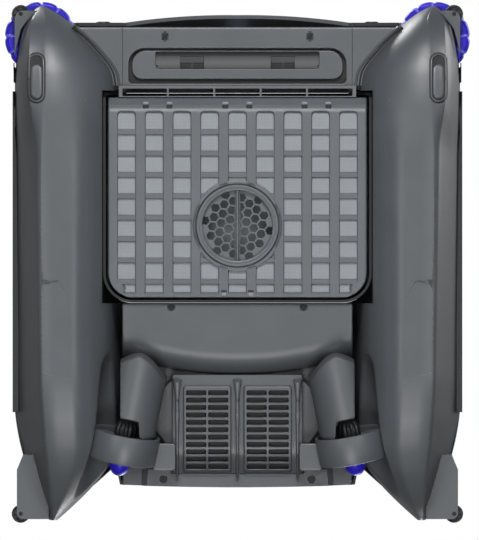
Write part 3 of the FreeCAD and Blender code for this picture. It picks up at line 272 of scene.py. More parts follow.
def turned_steel(name, rgb, rough):
    """Turned stainless steel: fine tool rings across the work, with a slightly uneven polish."""
    material, tree, place = blank(name)
    rings = add(tree, "ShaderNodeTexWave", {"Vector": place, "Scale": 90, "Distortion": 1.5, "Detail": 2},
                bands_direction="DIAGONAL").outputs["Fac"]
    bump = add(tree, "ShaderNodeBump", {"Height": rings, "Strength": 0.15, "Distance": 0.03 * MM})
    tone = mixed(tree, spread(tree, noise(tree, place, 6, 2), 0, 1), scaled(rgb, 0.85), rgb)
    return close(material, tree, base_color=tone, metallic=1.0,
                 roughness=spread(tree, rings, rough - 0.06, rough + 0.06, 0, 1),
                 normal=bump.outputs["Normal"])


def solder_mask(rgb):
    """A circuit board: green solder mask over copper tracks drawn 2 mm apart, with pale pads."""
    material, tree, place = blank("Circuit board, green mask")
    cells = add(tree, "ShaderNodeTexVoronoi", {"Vector": place, "Scale": 1 / (5 * MM)},
                feature="DISTANCE_TO_EDGE", distance="EUCLIDEAN").outputs["Distance"]
    track = add(tree, "ShaderNodeMath", {0: cells, 1: 0.06}, operation="LESS_THAN").outputs[0]
    tone = mixed(tree, track, rgb, scaled(rgb, 2.4))
    return close(material, tree, base_color=tone, roughness=0.35, coat_weight=0.3)


def make_finishes(c):
    """Every finish under its slot's name."""
    made.update({
        # ABS, injection moulded with a fine spark-eroded grain: satin, so wide soft lights glide over it.
        # The real grain of 0.15 mm is drawn at 0.9 mm so that it shows.
        "hull": moulded("ABS, satin moulded, hull", c.hull, 0.42, 0.9, 0.05),
        "deck": moulded("ABS, satin moulded, deck", c.deck, 0.38, 0.9, 0.05),
        # Polypropylene is a little waxy and duller than ABS.
        "lattice": moulded("Polypropylene, matte moulded", c.lattice, 0.46, 1.0, 0.05, subsurface_weight=0.03,
                           subsurface_scale=0.002),
        # Painted shade: the unlit insides of slots, pockets and gaps are painted near black.
        "inside": moulded("ABS, unlit inside", c.inside, 0.7, 1.2, 0.05),
        # Painted shade: dark grey for the parts set deep in the hull.
        "shade": moulded("ABS, painted deep shade", c.shade, 0.5, 1.0, 0.05),
        # Screws and wheel axles: a dark, partly metallic finish, the deep-set parts' colour made a little
        # darker.
        "screw": moulded("Stainless steel, dark", scaled(c.shade, 0.9), 0.35, 0.6, 0.04, metallic=0.6),
        "mesh": woven_nylon(c.mesh),
        "blue": blue_urethane(c.blue, c.blue_wear_and_sheen),
        # Nitrile rubber, moulded: dull and nearly black with a dusty bloom.
        "roller": moulded("Nitrile rubber, moulded", c.rubber, 0.62, 0.7, 0.06),
        "seal": moulded("Silicone rubber, soft", c.rubber, 0.5, 1.5, 0.04, sheen_weight=0.2),
        "smoked": smoked_polycarbonate(c.smoked),
        "cells": solar_cells(c.cells),
        # Acrylic light guide, frosted by blasting: it glows a little when the cleaner is on.
        "light": moulded("Acrylic, frosted", c.light, 0.5, 0.8, 0.03, emission_color=(*c.light, 1),
                         emission_strength=0.35),
        # Polished acrylic over a dark sensor.
        "lens": moulded("Acrylic, polished dark", scaled(c.rubber, 0.8), 0.16, 2.5, 0.01, coat_weight=0.5,
                        coat_roughness=0.04),
        "fan": moulded("Glass-filled nylon, black", scaled(c.rubber, 1.6), 0.4, 0.8, 0.04),
        "foam": moulded("Polyethylene foam, closed cell", c.foam, 0.85, 1.8, 0.4),
        "steel": turned_steel("Stainless steel, turned", c.steel, 0.3),
        "motor": turned_steel("Aluminium, turned", scaled(c.steel, 0.9), 0.38),
        "board": solder_mask(c.board),
        "wrap": moulded("Heat-shrink wrap", c.wrap, 0.25, 8, 0.2),
    })


# ---------------------------------------------------------------- shapes

def smooth_through(at, values, wanted):
    """Values on a smooth curve through points: cubics whose slopes are the mean of their neighbours' chords,
    set to none at a peak so that the curve never overshoots."""
    at, values = np.asarray(at, float), np.asarray(values, float)
    chord = np.diff(values) / np.diff(at)
    slope = np.zeros_like(values)
    same = chord[:-1] * chord[1:] > 0
    slope[1:-1] = np.where(same, 2 * chord[:-1] * chord[1:] / np.where(same, chord[:-1] + chord[1:], 1), 0)
    slope[0], slope[-1] = chord[0], chord[-1]
    i = np.clip(np.searchsorted(at, wanted) - 1, 0, len(at) - 2)
    step = at[i + 1] - at[i]
    t = (wanted - at[i]) / step
    return ((1 + 2 * t) * (1 - t) ** 2 * values[i] + t * (1 - t) ** 2 * step * slope[i]
            + t * t * (3 - 2 * t) * values[i + 1] + t * t * (t - 1) * step * slope[i + 1])


def step_up(value, start, end):
    """0 before start, 1 after end, and a smooth S between."""
    t = np.clip((value - start) / (end - start), 0, 1)
    return t * t * (3 - 2 * t)


def round_box(x, y, middle, half, front_round, rear_round):
    """Distance outside a rectangle with rounded corners, negative inside it: the usual signed distance, whose
    corner radius depends on the side of the middle that a point is on."""
    dx, dy = np.abs(x - middle[0]), y - middle[1]
    bend = np.where(dy < 0, front_round, rear_round)
    qx, qy = dx - half[0] + bend, np.abs(dy) - half[1] + bend
    outside = np.hypot(np.maximum(qx, 0), np.maximum(qy, 0))
    return outside + np.minimum(np.maximum(qx, qy), 0) - bend


def lines_for(edges, low, high, offsets, pitch):
    """Sorted grid lines: those at each offset from each edge, and others no further apart than the pitch."""
    lines = [low, high, *[edge + off for edge in edges for off in offsets]]
    lines = np.unique(np.round([v for v in lines if low <= v <= high], 3))
    lines = lines[np.concatenate([[True], np.diff(lines) > 0.04])]
    more = [np.linspace(a, b, int((b - a) / pitch) + 2)[1:-1] for a, b in zip(lines[:-1], lines[1:])]
    return np.sort(np.concatenate([lines, *more]))


def slab(x, y, face, back):
    """A closed slab from a grid of places: its face has one height for each point, and its back only an
    edge."""
    front = np.stack([x, y, face], -1)
    rear = np.stack([x[:, [-1, 0]], y[:, [-1, 0]], np.broadcast_to(back, x.shape)[:, [-1, 0]]], -1)
    return np.concatenate([front, rear], axis=1)


def turned(profile, columns):
    """A profile of (radius, height) points carried round the Z axis: x = r cos a, y = r sin a."""
    angle = np.linspace(0, 2 * np.pi, columns, endpoint=False)
    r, z = np.asarray(profile, float).T
    return np.stack([r[:, None] * np.cos(angle), r[:, None] * np.sin(angle),
                     np.repeat(z[:, None], columns, 1)], -1)


def along_path(path, radius, columns, across=(0, 0, 1)):
    """A round rod along a path: circles square to the path's direction, whose first axis leans to
    `across`."""
    path = np.asarray(path, float)
    tangent = np.gradient(path, axis=0)
    tangent /= np.linalg.norm(tangent, axis=1)[:, None]
    side = np.cross(tangent, across)
    side /= np.linalg.norm(side, axis=1)[:, None]
    up = np.cross(side, tangent)
    angle = np.linspace(0, 2 * np.pi, columns, endpoint=False)
    radius = np.broadcast_to(radius, len(path))[:, None, None]
    ring = side[:, None] * np.cos(angle)[None, :, None] + up[:, None] * np.sin(angle)[None, :, None]
    return path[:, None] + radius * ring


def soft_block(low, high, power=6, rows=15, columns=32):
    """A block with rounded edges between two corners: a sphere whose sines and cosines are raised to
    2/power."""
    low, high = np.asarray(low, float), np.asarray(high, float)
    tilt = np.linspace(-np.pi / 2 + 0.02, np.pi / 2 - 0.02, rows)[:, None]
    turn = np.linspace(0, 2 * np.pi, columns, endpoint=False)[None, :]

    def shaped(value):
        return np.sign(value) * np.abs(value) ** (2 / power)

    unit = np.stack([shaped(np.cos(tilt)) * shaped(np.cos(turn)), shaped(np.cos(tilt)) * shaped(np.sin(turn)),
                     shaped(np.sin(tilt)) + 0 * turn], -1)
    return (low + high) / 2 + unit * (high - low) / 2


def flipped(shells):
    """The same shells on the other side of the hull."""
    return [(points * [-1, 1, 1], loop) for points, loop in shells]


def piece(name, shells, finishes, body, nodes=(), sharp=38, mark=None, wear_and_sheen=None):
    """One object from closed grids of points in millimetres. A grid's columns run round it; its rows run
    round too if `loop` is true, and are closed by flat ends if not. `mark` gives each face the number of
    its finish."""
    corners, faces, start = [], [], 0
    for points, loop in shells:
        rows, columns = points.shape[:2]
        i = np.arange(rows if loop else rows - 1)[:, None]
        j = np.arange(columns)[None, :]
        up, right = (i + 1) % rows * columns, (j + 1) % columns
        here = i * columns
        quads = np.stack([here + j, here + right, up + right, up + j], -1).reshape(-1, 4) + start
        faces += quads.tolist()
        if not loop:
            faces += [list(range(start, start + columns)),
                      list(range(start + (rows - 1) * columns, start + rows * columns))]
        corners.append(points.reshape(-1, 3))
        start += rows * columns
    corners = np.concatenate(corners)
    mesh = bpy.data.meshes.new(name)
    mesh.from_pydata(corners * MM, [], faces)
    # A per-point share of a paler colour: wear, and the painted highlight on the wheels' ribs.
    if wear_and_sheen is not None:
        layer = mesh.attributes.new("wear_and_sheen", "FLOAT", "POINT")
        layer.data.foreach_set("value", wear_and_sheen(corners).astype(np.float32))
    if mark is not None:
        middles = np.empty(len(mesh.polygons) * 3)
        mesh.polygons.foreach_get("center", middles)
        mesh.polygons.foreach_set("material_index", mark(middles.reshape(-1, 3) / MM).astype(np.int32))
    work = bmesh.new()
    work.from_mesh(mesh)
    bmesh.ops.remove_doubles(work, verts=work.verts, dist=2e-6)
    bmesh.ops.recalc_face_normals(work, faces=work.faces)
    work.to_mesh(mesh)
    work.free()
    return place_piece(name, mesh, finishes, body, nodes, sharp)


def place_piece(name, mesh, finishes, body, nodes=(), sharp=38):
    """Shades a mesh smooth but for its sharp edges, gives it its finishes and lets it ride on its body."""
    mesh.polygons.foreach_set("use_smooth", np.ones(len(mesh.polygons), bool))
    mesh.set_sharp_from_angle(angle=math.radians(sharp))
    for finish in finishes:
        mesh.materials.append(made[finish])
    item = bpy.data.objects.new(name, mesh)
    bpy.context.scene.collection.objects.link(item)
    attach(item, body)
    if nodes:
        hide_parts(*nodes)
    return item


def softened(node, finish, body, width=0.4, fine=0.5):
    """A copy of a CAD node with its edges rounded, which stands for the node."""
    work = bmesh.new()
    work.from_mesh(frame["nodes"][node].data)
    bmesh.ops.remove_doubles(work, verts=work.verts, dist=1e-6)
    bmesh.ops.dissolve_limit(work, angle_limit=math.radians(fine), verts=work.verts, edges=work.edges)
    mesh = bpy.data.meshes.new(node + "_soft")
    work.to_mesh(mesh)
    work.free()
    item = place_piece(node + "_soft", mesh, [finish], body, [node], 32)
    bevel = item.modifiers.new("Rounded edges", "BEVEL")
    bevel.width = width * MM
    bevel.segments = 2
    bevel.limit_method = "ANGLE"
    bevel.angle_limit = math.radians(38)
    bevel.harden_normals = True
    return item


# ---------------------------------------------------------------- pontoons

# Along a pontoon from bow to stern: distance, outer and inner edge at the top, chine, keel height and bilge
# bulge.
STATIONS = np.array([
    (-236.3, 184, 177, 181, 80, 0.5), (-234.5, 187, 174, 181, 66, 0.6), (-228, 194, 163, 182, 47, 0.8),
    (-215, 199, 147, 183, 28, 1), (-197, 202.5, 128, 183.5, 15, 1), (-172, 205, 111, 184, 6, 1),
    (-140, 205.5, 108, 184, 1.2, 0.8), (-100, 205.5, 108, 184, 0, 0.35), (100, 205.5, 108, 182, 0, 0),
    (137, 205, 108, 180, 4, 0), (165, 199.8, 109, 178, 12, 0), (187, 194.3, 118, 175.5, 22, 0),
    (207, 188.5, 134, 173.6, 35, 0), (225, 181.5, 152, 172, 50, 0), (237.5, 174, 166, 171, 66, 0),
])
WHEEL = np.array([181.7, -207.7])
# The right sensor's pad: its middle, the radius of its ends and half the length of its sides.
SENSOR = (184.5, -169.5)
SENSOR_RADIUS = 7.6
SENSOR_HALF = 14.9
# Across the pontoon, the basket's well stands this far from the middle.
BAY_SIDE = 124.3
TOE, PITCH = math.radians(11), math.radians(8)
THRUSTER = np.array([105.0, 169.0, 42.0])
# The right thruster's axes: aside, along and up.
ACROSS = np.array([math.cos(TOE), -math.sin(TOE), 0])
ALONG = np.array([math.sin(TOE) * math.cos(PITCH), math.cos(TOE) * math.cos(PITCH), math.sin(PITCH)])
LIFT = np.cross(ACROSS, ALONG)


def on_thruster(points):
    """Points given as (aside, along, up) from the right duct's centre, put in the hull's frame."""
    return THRUSTER + points[..., :1] * ACROSS + points[..., 1:2] * ALONG + points[..., 2:] * LIFT


def pontoon_section(y, sizes):
    """The right pontoon's section at each y, from its inner top edge down, along the keel, round the chine
    and up its outer side: two smooth curves joined by a small arc. Returns x and z with one row for each
    y."""
    columns = (smooth_through(STATIONS[:, 0], STATIONS[:, k], y) for k in range(1, 6))
    outer, inner, chine, keel, bulge = (column[:, None] for column in columns)
    top = sizes.pontoon_top / MM
    tall, wide, flare = top - keel, chine - inner, outer - chine
    # Shares of the way from the inner edge to the chine, and of the height.
    stops = np.array([0, 0.30, 0.55, 0.78, 0.93, 1])
    share_x = np.array([1, 0.84, 0.60, 0.38, 0.14, 0])
    share_z = np.array([1, 0.37, 0.085, -0.002, 0.0, 0.006])
    t = np.linspace(0, 1, 56)
    lean = t * np.pi / 2
    power = 2 / 2.6
    x = chine - wide * ((1 - bulge) * smooth_through(stops, share_x, t) + bulge * np.cos(lean) ** power)
    z = keel + tall * ((1 - bulge) * smooth_through(stops, share_z, t) + bulge * (1 - np.sin(lean) ** power))
    corner_x, corner_z = chine, keel + tall * 0.02
    radius = np.minimum(sizes.chine_round / MM * (1 + 1.5 * bulge), 0.3 * wide)
    s = np.linspace(0, 1, 26)[None]
    rise = 4 * s * (1 - s) * bulge
    side_x = chine + flare * (s + 0.12 * rise)
    side_z = corner_z + (top - corner_z) * (s - 0.26 * rise)
    # The arc replaces the corner: it starts on the keel and ends on the side, one radius away from the
    # corner.
    first = side_x[:, 1:2] - chine
    second = side_z[:, 1:2] - corner_z
    norm = np.hypot(first, second)
    u = np.linspace(0, 1, 9)[None]
    arc_x = corner_x - radius * (1 - u) ** 2 + first / norm * radius * u ** 2
    arc_z = corner_z - (1 - u) ** 2 * tall * 0.02 + second / norm * radius * u ** 2
    keep = t <= 0.9
    limit = corner_x - radius - 0.02 * wide
    x_low = np.minimum(x[:, keep], limit)
    wall_x = np.maximum(side_x[:, 1:], arc_x[:, -1:] + (outer - arc_x[:, -1:]) * s[:, 1:] * 0.02)
    wall_z = np.maximum(side_z[:, 1:], arc_z[:, -1:] + (top - arc_z[:, -1:]) * s[:, 1:] * 0.02)
    return np.concatenate([x_low, arc_x, wall_x], 1), np.concatenate([z[:, keep], arc_z, wall_z], 1)


def carve_tunnel(points):
    """Pushes points out of the thruster's tunnel: a point nearer to the axis than the tunnel's radius moves
    straight away from the axis to that radius, which swells to its full size behind the tunnel's front
    end."""
    rel = points - THRUSTER
    along = rel @ ALONG
    out = rel - along[..., None] * ALONG
    gap = np.linalg.norm(out, axis=-1)
    room = 34.5 * np.sqrt(step_up(along, -104, -70))
    near = (gap < room) & (along < 100)
    moved = THRUSTER + along[..., None] * ALONG + out * (room / np.maximum(gap, 1e-6))[..., None]
    return np.where(near[..., None], moved, points)


def pontoon_shell(sizes):
    """The right pontoon: its sections along the hull, closed across the top, with the bay for the basket's
    well, the thruster's tunnel and the room under the corner wheel taken out of them."""
    bay = (-158.2, 37.6)
    y = lines_for([*bay, -196], -236.3, 237.5, (-0.06, 0.06), 2.4)
    x, z = pontoon_section(y, sizes)
    x = np.concatenate([x, x[:, -1:] * 0.7 + x[:, :1] * 0.3, x[:, -1:] * 0.3 + x[:, :1] * 0.7], 1)
    z = np.concatenate([z, z[:, -1:], z[:, :1]], 1)
    y = np.repeat(y[:, None], x.shape[1], 1)
    inside = (y > bay[0]) & (y < bay[1])
    x = np.where(inside, np.maximum(x, BAY_SIDE), x)
    shelf = (np.hypot(x - WHEEL[0], y - WHEEL[1]) < 36.2) | (y < -196)
    z = np.where(shelf, np.minimum(z, 85), z)
    points = carve_tunnel(np.stack([x, y, z], -1))
    points[..., 0] = np.where(inside, np.maximum(points[..., 0], BAY_SIDE), points[..., 0])
    return [(points, False)]


def under_pontoon(x, y, sizes):
    """The height of the right pontoon's underside over places: each one's section read at its x."""
    shape = x.shape
    sx, sz = pontoon_section(y.ravel(), sizes)
    k = np.clip((sx < x.ravel()[:, None]).sum(1), 1, sx.shape[1] - 1)
    i = np.arange(len(k))
    share = (x.ravel() - sx[i, k - 1]) / np.maximum(sx[i, k] - sx[i, k - 1], 1e-6)
    return (sz[i, k - 1] + share * (sz[i, k] - sz[i, k - 1])).reshape(shape)


def capsule(middle, radius, half, profile, sizes, columns=72):
    """A capsule-shaped pad on the right pontoon. For each (share, rise) of the profile, a ring at that
    share of the radius round the capsule's middle line stands that far under the pontoon's skin."""
    angle = np.linspace(0, 2 * np.pi, columns, endpoint=False)
    share, rise = np.asarray(profile, float).T
    x = middle[0] + radius * share[:, None] * np.cos(angle)
    y = middle[1] + radius * share[:, None] * np.sin(angle) + half * np.clip(np.sin(angle) * 4, -1, 1)
    z = under_pontoon(x, y, sizes) - rise[:, None]
    return np.stack([x, y, z], -1)


class CLEANER_OT_pontoons(bpy.types.Operator):
    """Adds the two pontoons with the rim round their bows and the sensor covers under them"""
    bl_idname = "cleaner.pontoons"
    bl_label = "Pontoons"

    def execute(self, context):
        sizes = context.scene.cleaner_sizes
        shell = pontoon_shell(sizes)
        # The rim follows the line where the pontoon's skin meets the bow panel.
        y = np.linspace(-216.6, -159, 60)
        skin_x, skin_z = pontoon_section(y, sizes)
        meet = np.array([np.interp(-53, -row_z[:40], row_x[:40]) for row_x, row_z in zip(skin_x, skin_z)])
        bands = []
        # The second band, between the rim and the pontoon, is painted shade: a near-black strip standing for
        # the dark gap there.
        for off, wide, low in ((-5.0, 1.8, 50.2), (-1.6, 2.4, 51.6)):
            centre = np.stack([meet + off, y, 0 * y + low + 6], -1)
            ring = along_path(centre, 1, 20)
            bands.append([(centre[:, None] + (ring - centre[:, None]) * [wide, wide, 6], False)])
        rim, gap = bands
        outside = [(0.74, -0.5), (0.76, 1.5), (0.82, 2.1), (0.92, 2.0), (1.0, 1.4), (1.02, 0.6), (1.02, -1.5)]
        ring = capsule(SENSOR, SENSOR_RADIUS, SENSOR_HALF, outside, sizes)
        moat = capsule(SENSOR, SENSOR_RADIUS + 1, SENSOR_HALF,
                       [(0.86, -1.5), (0.88, 0.4), (1.0, 0.4), (1.0, -1.5)], sizes)
        floor = capsule(SENSOR, SENSOR_RADIUS, SENSOR_HALF, [(0.02, 0.5), (0.5, 0.5), (0.8, 0.5), (0.8, -3)],
                        sizes)
        pad = [(0.02, 1.5), (0.5, 1.5), (0.84, 1.45), (0.95, 1.1), (1.0, 0.4), (1.0, -2)]
        inset = capsule((SENSOR[0], SENSOR[1] + 3.3), 5.1, 10.6, pad, sizes)
        for hand, turn in (("right", list), ("left", flipped)):
            piece(f"pontoon_skin_{hand}", turn(shell), ["hull"], "hull", [f"pontoon_{hand}"], 50)
            piece(f"bow_rim_{hand}", turn(rim), ["hull"], "hull")
            # The band in the gap gets the near-black finish as painted shade.
            piece(f"bow_gap_painted_shade_{hand}", turn(gap), ["inside"], "hull")
            piece(f"sensor_ring_{hand}", turn([(ring, False)]), ["hull"], "hull",
                  ["sensor_covers"] if hand == "right" else ())
            # The recess's floor and the moat round the pad are painted shade: near black for the unlit
            # hollow.
            piece(f"sensor_recess_painted_shade_{hand}", turn([(floor, False), (moat, False)]), ["inside"], "hull")
            piece(f"sensor_pad_{hand}", turn([(inset, False)]), ["hull"], "hull")
        return {"FINISHED"}


# ---------------------------------------------------------------- deck

def arc_through(start, middle, end, count):
    """Points on the circle through three points, from the first to the last."""
    (ax, ay), (bx, by), (cx, cy) = start, middle, end
    d = 2 * (ax * (by - cy) + bx * (cy - ay) + cx * (ay - by))
    first, second, third = (px * px + py * py for px, py in (start, middle, end))
    ux = (first * (by - cy) + second * (cy - ay) + third * (ay - by)) / d
    uy = (first * (cx - bx) + second * (ax - cx) + third * (bx - ax)) / d
    a, b, c = (math.atan2(p[1] - uy, p[0] - ux) for p in (start, middle, end))
    way = 1 if (b - a) % (2 * math.pi) < (c - a) % (2 * math.pi) else -1
    span = (c - a) % (2 * math.pi) if way > 0 else (c - a) % (2 * math.pi) - 2 * math.pi
    angle = a + span * np.linspace(0, 1, count)
    r = math.hypot(ax - ux, ay - uy)
    return np.stack([ux + r * np.cos(angle), uy + r * np.sin(angle)], -1)


def deck_loop(count):
    """The deck's outline seen from above, evenly spaced, from the middle of the bow round to starboard."""
    runs = [((0, -228.6), (56, -226.9), (104, -221.5)), ((104, -221.5), (150.5, -221.5)),
            ((150.5, -221.5), (189.4, -205.4), (205.5, -166.5)), ((205.5, -166.5), (205.5, 137)),
            ((205.5, 137), (193, 193), (171.5, 237)), ((171.5, 237), (143, 214.5), (112, 187)),
            ((112, 187), (108.5, 205)), ((108.5, 205), (56, 206.9), (0, 207.5))]
    half = np.concatenate([arc_through(*run, 60) if len(run) == 3 else np.linspace(*run, 40) for run in runs])
    loop = np.concatenate([half, half[::-1] * [-1, 1]])
    way = np.concatenate([[0], np.cumsum(np.hypot(*np.diff(loop, axis=0).T))])
    even = np.linspace(0, way[-1], count, endpoint=False)
    return np.stack([np.interp(even, way, loop[:, k]) for k in (0, 1)], -1)


def hatch_point(angle, grow):
    """Where a ray from the hatch's middle at that angle meets the hatch's edge, moved out by grow."""
    middle = np.array([0, -60.0])
    radius = np.linspace(60, 200, 1401)[None]
    x, y = radius * np.cos(angle)[:, None], middle[1] + radius * np.sin(angle)[:, None]
    apart = round_box(x, y, (0, -59.75), (124 + grow, 97.15 + grow), 2.5 + grow, 27.5 + grow)
    first = np.argmax(apart > 0, axis=1)
    r = radius[0, first]
    return middle + np.stack([r * np.cos(angle), r * np.sin(angle)], -1)


def deck_shell(sizes):
    """The deck: its outline carried up its side, over the shoulder on a superellipse, in to the hatch's
    edge and back inside itself, so that the loop of rows closes."""
    low, turn, top = (getattr(sizes, name) / MM for name in ("deck_low", "deck_shoulder", "deck_top"))
    loop = deck_loop(1000)
    angle = np.arctan2(loop[:, 1] + 60, loop[:, 0])
    lean = np.linspace(0, np.pi / 2, 18)
    grow = 0.93 + 0.07 * np.cos(lean) ** 0.8
    height = turn + (top - turn) * np.sin(lean) ** 0.8
    rows = [(0.985, low), (0.994, low), (1, low + 1), (1, (low + turn) / 2), *zip(grow, height)]
    layers = [np.column_stack([loop * share, np.full(len(loop), z)]) for share, z in rows]
    rim, edge = loop * 0.93, hatch_point(angle, 0)
    for share in (0.1, 0.3, 0.55, 0.8):
        layers.append(np.column_stack([rim + (hatch_point(angle, 3) - rim) * share, np.full(len(loop), top)]))
    for out, z in ((3.2, top), (2.8, top - 0.9), (1.6, top - 0.9), (0.4, top - 1.1), (0, top - 1.7),
                   (0, 132.2), (1.4, 131.9)):
        layers.append(np.column_stack([hatch_point(angle, out), np.full(len(loop), z)]))
    layers.append(np.column_stack([loop * 0.905, np.full(len(loop), top - 3.4)]))
    layers.append(np.column_stack([loop * 0.975, np.full(len(loop), turn)]))
    points = np.stack(layers)
    x, y = points[..., 0], points[..., 1]
    mouth = 104.3 - low
    brow = low + mouth * (1 - step_up(np.abs(x), 102, 109)) * (1 - step_up(y, -175, -160))
    wheel = np.hypot(np.abs(x) - WHEEL[0], y - WHEEL[1])
    brow = np.maximum(brow, low + 9 * (1 - step_up(wheel, 35.6, 37.2)))
    points[..., 2] = np.maximum(points[..., 2], brow)
    return points


class CLEANER_OT_deck(bpy.types.Operator):
    """Adds the deck with the frames set in it"""
    bl_idname = "cleaner.deck"
    bl_label = "Deck"

    def execute(self, context):
        piece("deck_skin", [(deck_shell(context.scene.cleaner_sizes), True)], ["deck"], "hull",
              ["deck_shell", "bow_cowl"], 34)
        softened("solar_frame", "deck", "hull", 0.35)
        softened("power_button", "deck", "button", 0.7)
        softened("status_light", "light", "hull", 0.3)
        softened("port_cap", "seal", "flap", 0.5)
        softened("sonar_eyes", "lens", "hull", 0.8)
        return {"FINISHED"}


# ---------------------------------------------------------------- bow

def drop(apart, bend, deep, wall=0.3):
    """How deep a surface lies by its distance outside a sunk shape: rounded over the edge, a steep wall,
    then deep."""
    over = bend - np.sqrt(np.maximum(bend ** 2 - np.clip(bend - apart, 0, bend) ** 2, 0))
    return np.where(apart >= 0, over, np.minimum(bend + (deep - bend) * np.clip(-apart / wall, 0, 1), deep))


# Offsets of the grid lines on either side of a sunk shape's edge.
EDGE = (-0.35, 0, 0.1, 0.3, 0.6, 1.0)
# The bow panel's drains: how far each is from the middle, and its place along the hull.
DRAIN = (41.75, -184)


def around(edges_low, edges_high):
    """Grid lines on both sides of sunk shapes: offsets mirrored for their low and high edges."""
    return [e - off for e in edges_low for off in EDGE] + [e + off for e in edges_high for off in EDGE]


def drains(x, y, half):
    """Distance outside the tray's two drains."""
    return np.minimum(*(round_box(x, y, (s * DRAIN[0], DRAIN[1]), half, 0.4, 0.4) for s in (1, -1)))


def bow_slab(sizes):
    """The bow panel: a flat face with the slot sunk in it. In the slot stands the pan with a moat round it,
    and in the pan the tray with its two drains."""
    base = sizes.bow_floor / MM
    lows = [-100.2, -97, -75.4, -52.8, 30.7, -42.3, 41.3]
    xs = lines_for(around(lows,
                          [-v for v in lows]) + [s * v for v in (105.4, 105.7, 106.0, 63.4, 66.7, 70, 63.8,
                                                                 69.6)
                                                       for s in (1, -1)], -147, 147, (0,), 2.2)
    ys = lines_for(around([-197.3, -195.2, -194.2, -190, -184], [-164.7, -169, -178])
                   + [-216.7, -216.4, -215.8, -215, -211.2, -210.8, -204.6, -205], -216.7, -162.9, (0,), 2.0)
    xs = np.unique(np.round(np.concatenate([xs, *[s * np.arange(84, 100.4, 0.5) for s in (1, -1)]]), 3))
    ys = np.unique(np.round(np.concatenate([ys, np.arange(-197.3, -164.5, 0.5)]), 3))
    x, y = np.meshgrid(xs, ys)
    slot = round_box(x, y, (0, -181), (100.2, 16.3), 15, 4)
    pan = round_box(x, y, (0, -182.1), (97, 13.1), 12.5, 9)
    tray = round_box(x, y, (0, -186.1), (75.4, 8.1), 1.5, 5)
    drain = drains(x, y, (11.05, 6))
    z = base + drop(slot, 0.8, 6.4)
    pan_face = base + 2.6 + drop(tray, 0.5, 3.6 - 1.6 * step_up(y, -190, -178))
    pan_face = np.where(drain < 0,
                        np.where((y > -184) & (np.abs(np.abs(x) - 41.8) > 0.5), base + 8.1, base + 7.2),
                        pan_face)
    top = np.maximum(pan_face, base + 2.6 + drop(-pan, 0.9, 3.9))
    z = np.where(slot < -0.6, np.minimum(z, top), z)
    z = np.where(drain < 0, pan_face, z)
    for s in (1, -1):
        z += np.where(np.hypot(x - s * 66.7, y + 207.9) < 3.35, 1.9, 0)
        z += 0.5 * (np.abs(x - s * 105.7) < 0.2)
    z += 1.6 * (1 - np.sqrt(1 - (1 - np.clip((y + 216.7) / 1.6, 0, 1)) ** 2))
    return slab(x, y, z, base + 3 + 5.5 * step_up(-y, 160, 163))


class CLEANER_OT_bow(bpy.types.Operator):
    """Adds the bow panel with its slot, and the mouth's cheeks, comb and paddle wheel"""
    bl_idname = "cleaner.bow"
    bl_label = "Bow"

    def execute(self, context):
        points = bow_slab(context.scene.cleaner_sizes)
        base = context.scene.cleaner_sizes.bow_floor / MM

        # Painted shade: the drains' deep ends, the moat round the pan and the tray's front are painted near
        # black, and the rest of the tray dark grey, for the shade in these hollows.
        def deep(middle):
            x, y, z = middle.T
            drain = drains(x, y, (11.2, 6.2))
            moat = (z > base + 4.4) & (round_box(x, y, (0, -182.1), (96.6, 12.8), 12.5,
                                                 9) > 0) & (np.abs(x) < 101)
            tray = round_box(x, y, (0, -186.1), (75.2, 7.9), 1.5, 5) < 0
            black = (drain < 0) & (y > -184.5) & (z > base + 7.5) | moat & (y > -198) & (y < -164)
            return np.where(black | tray & (y < -190.2), 1, np.where(tray, 2, 0))

        piece("bow_underside", [(points, False)], ["hull", "inside", "shade"], "hull",
              ["bow_panel", "inlet_pan"], 30,
              deep)
        softened("inlet_comb", "lattice", "hull", 0.35)
        # The cheeks get the dark grey finish as painted shade for the dark mouth.
        softened("inlet_cheeks", "shade", "hull", 0.5)
        softened("paddle_wheel", "lattice", "paddle", 0.35)
        return {"FINISHED"}


# ---------------------------------------------------------------- belly and stern

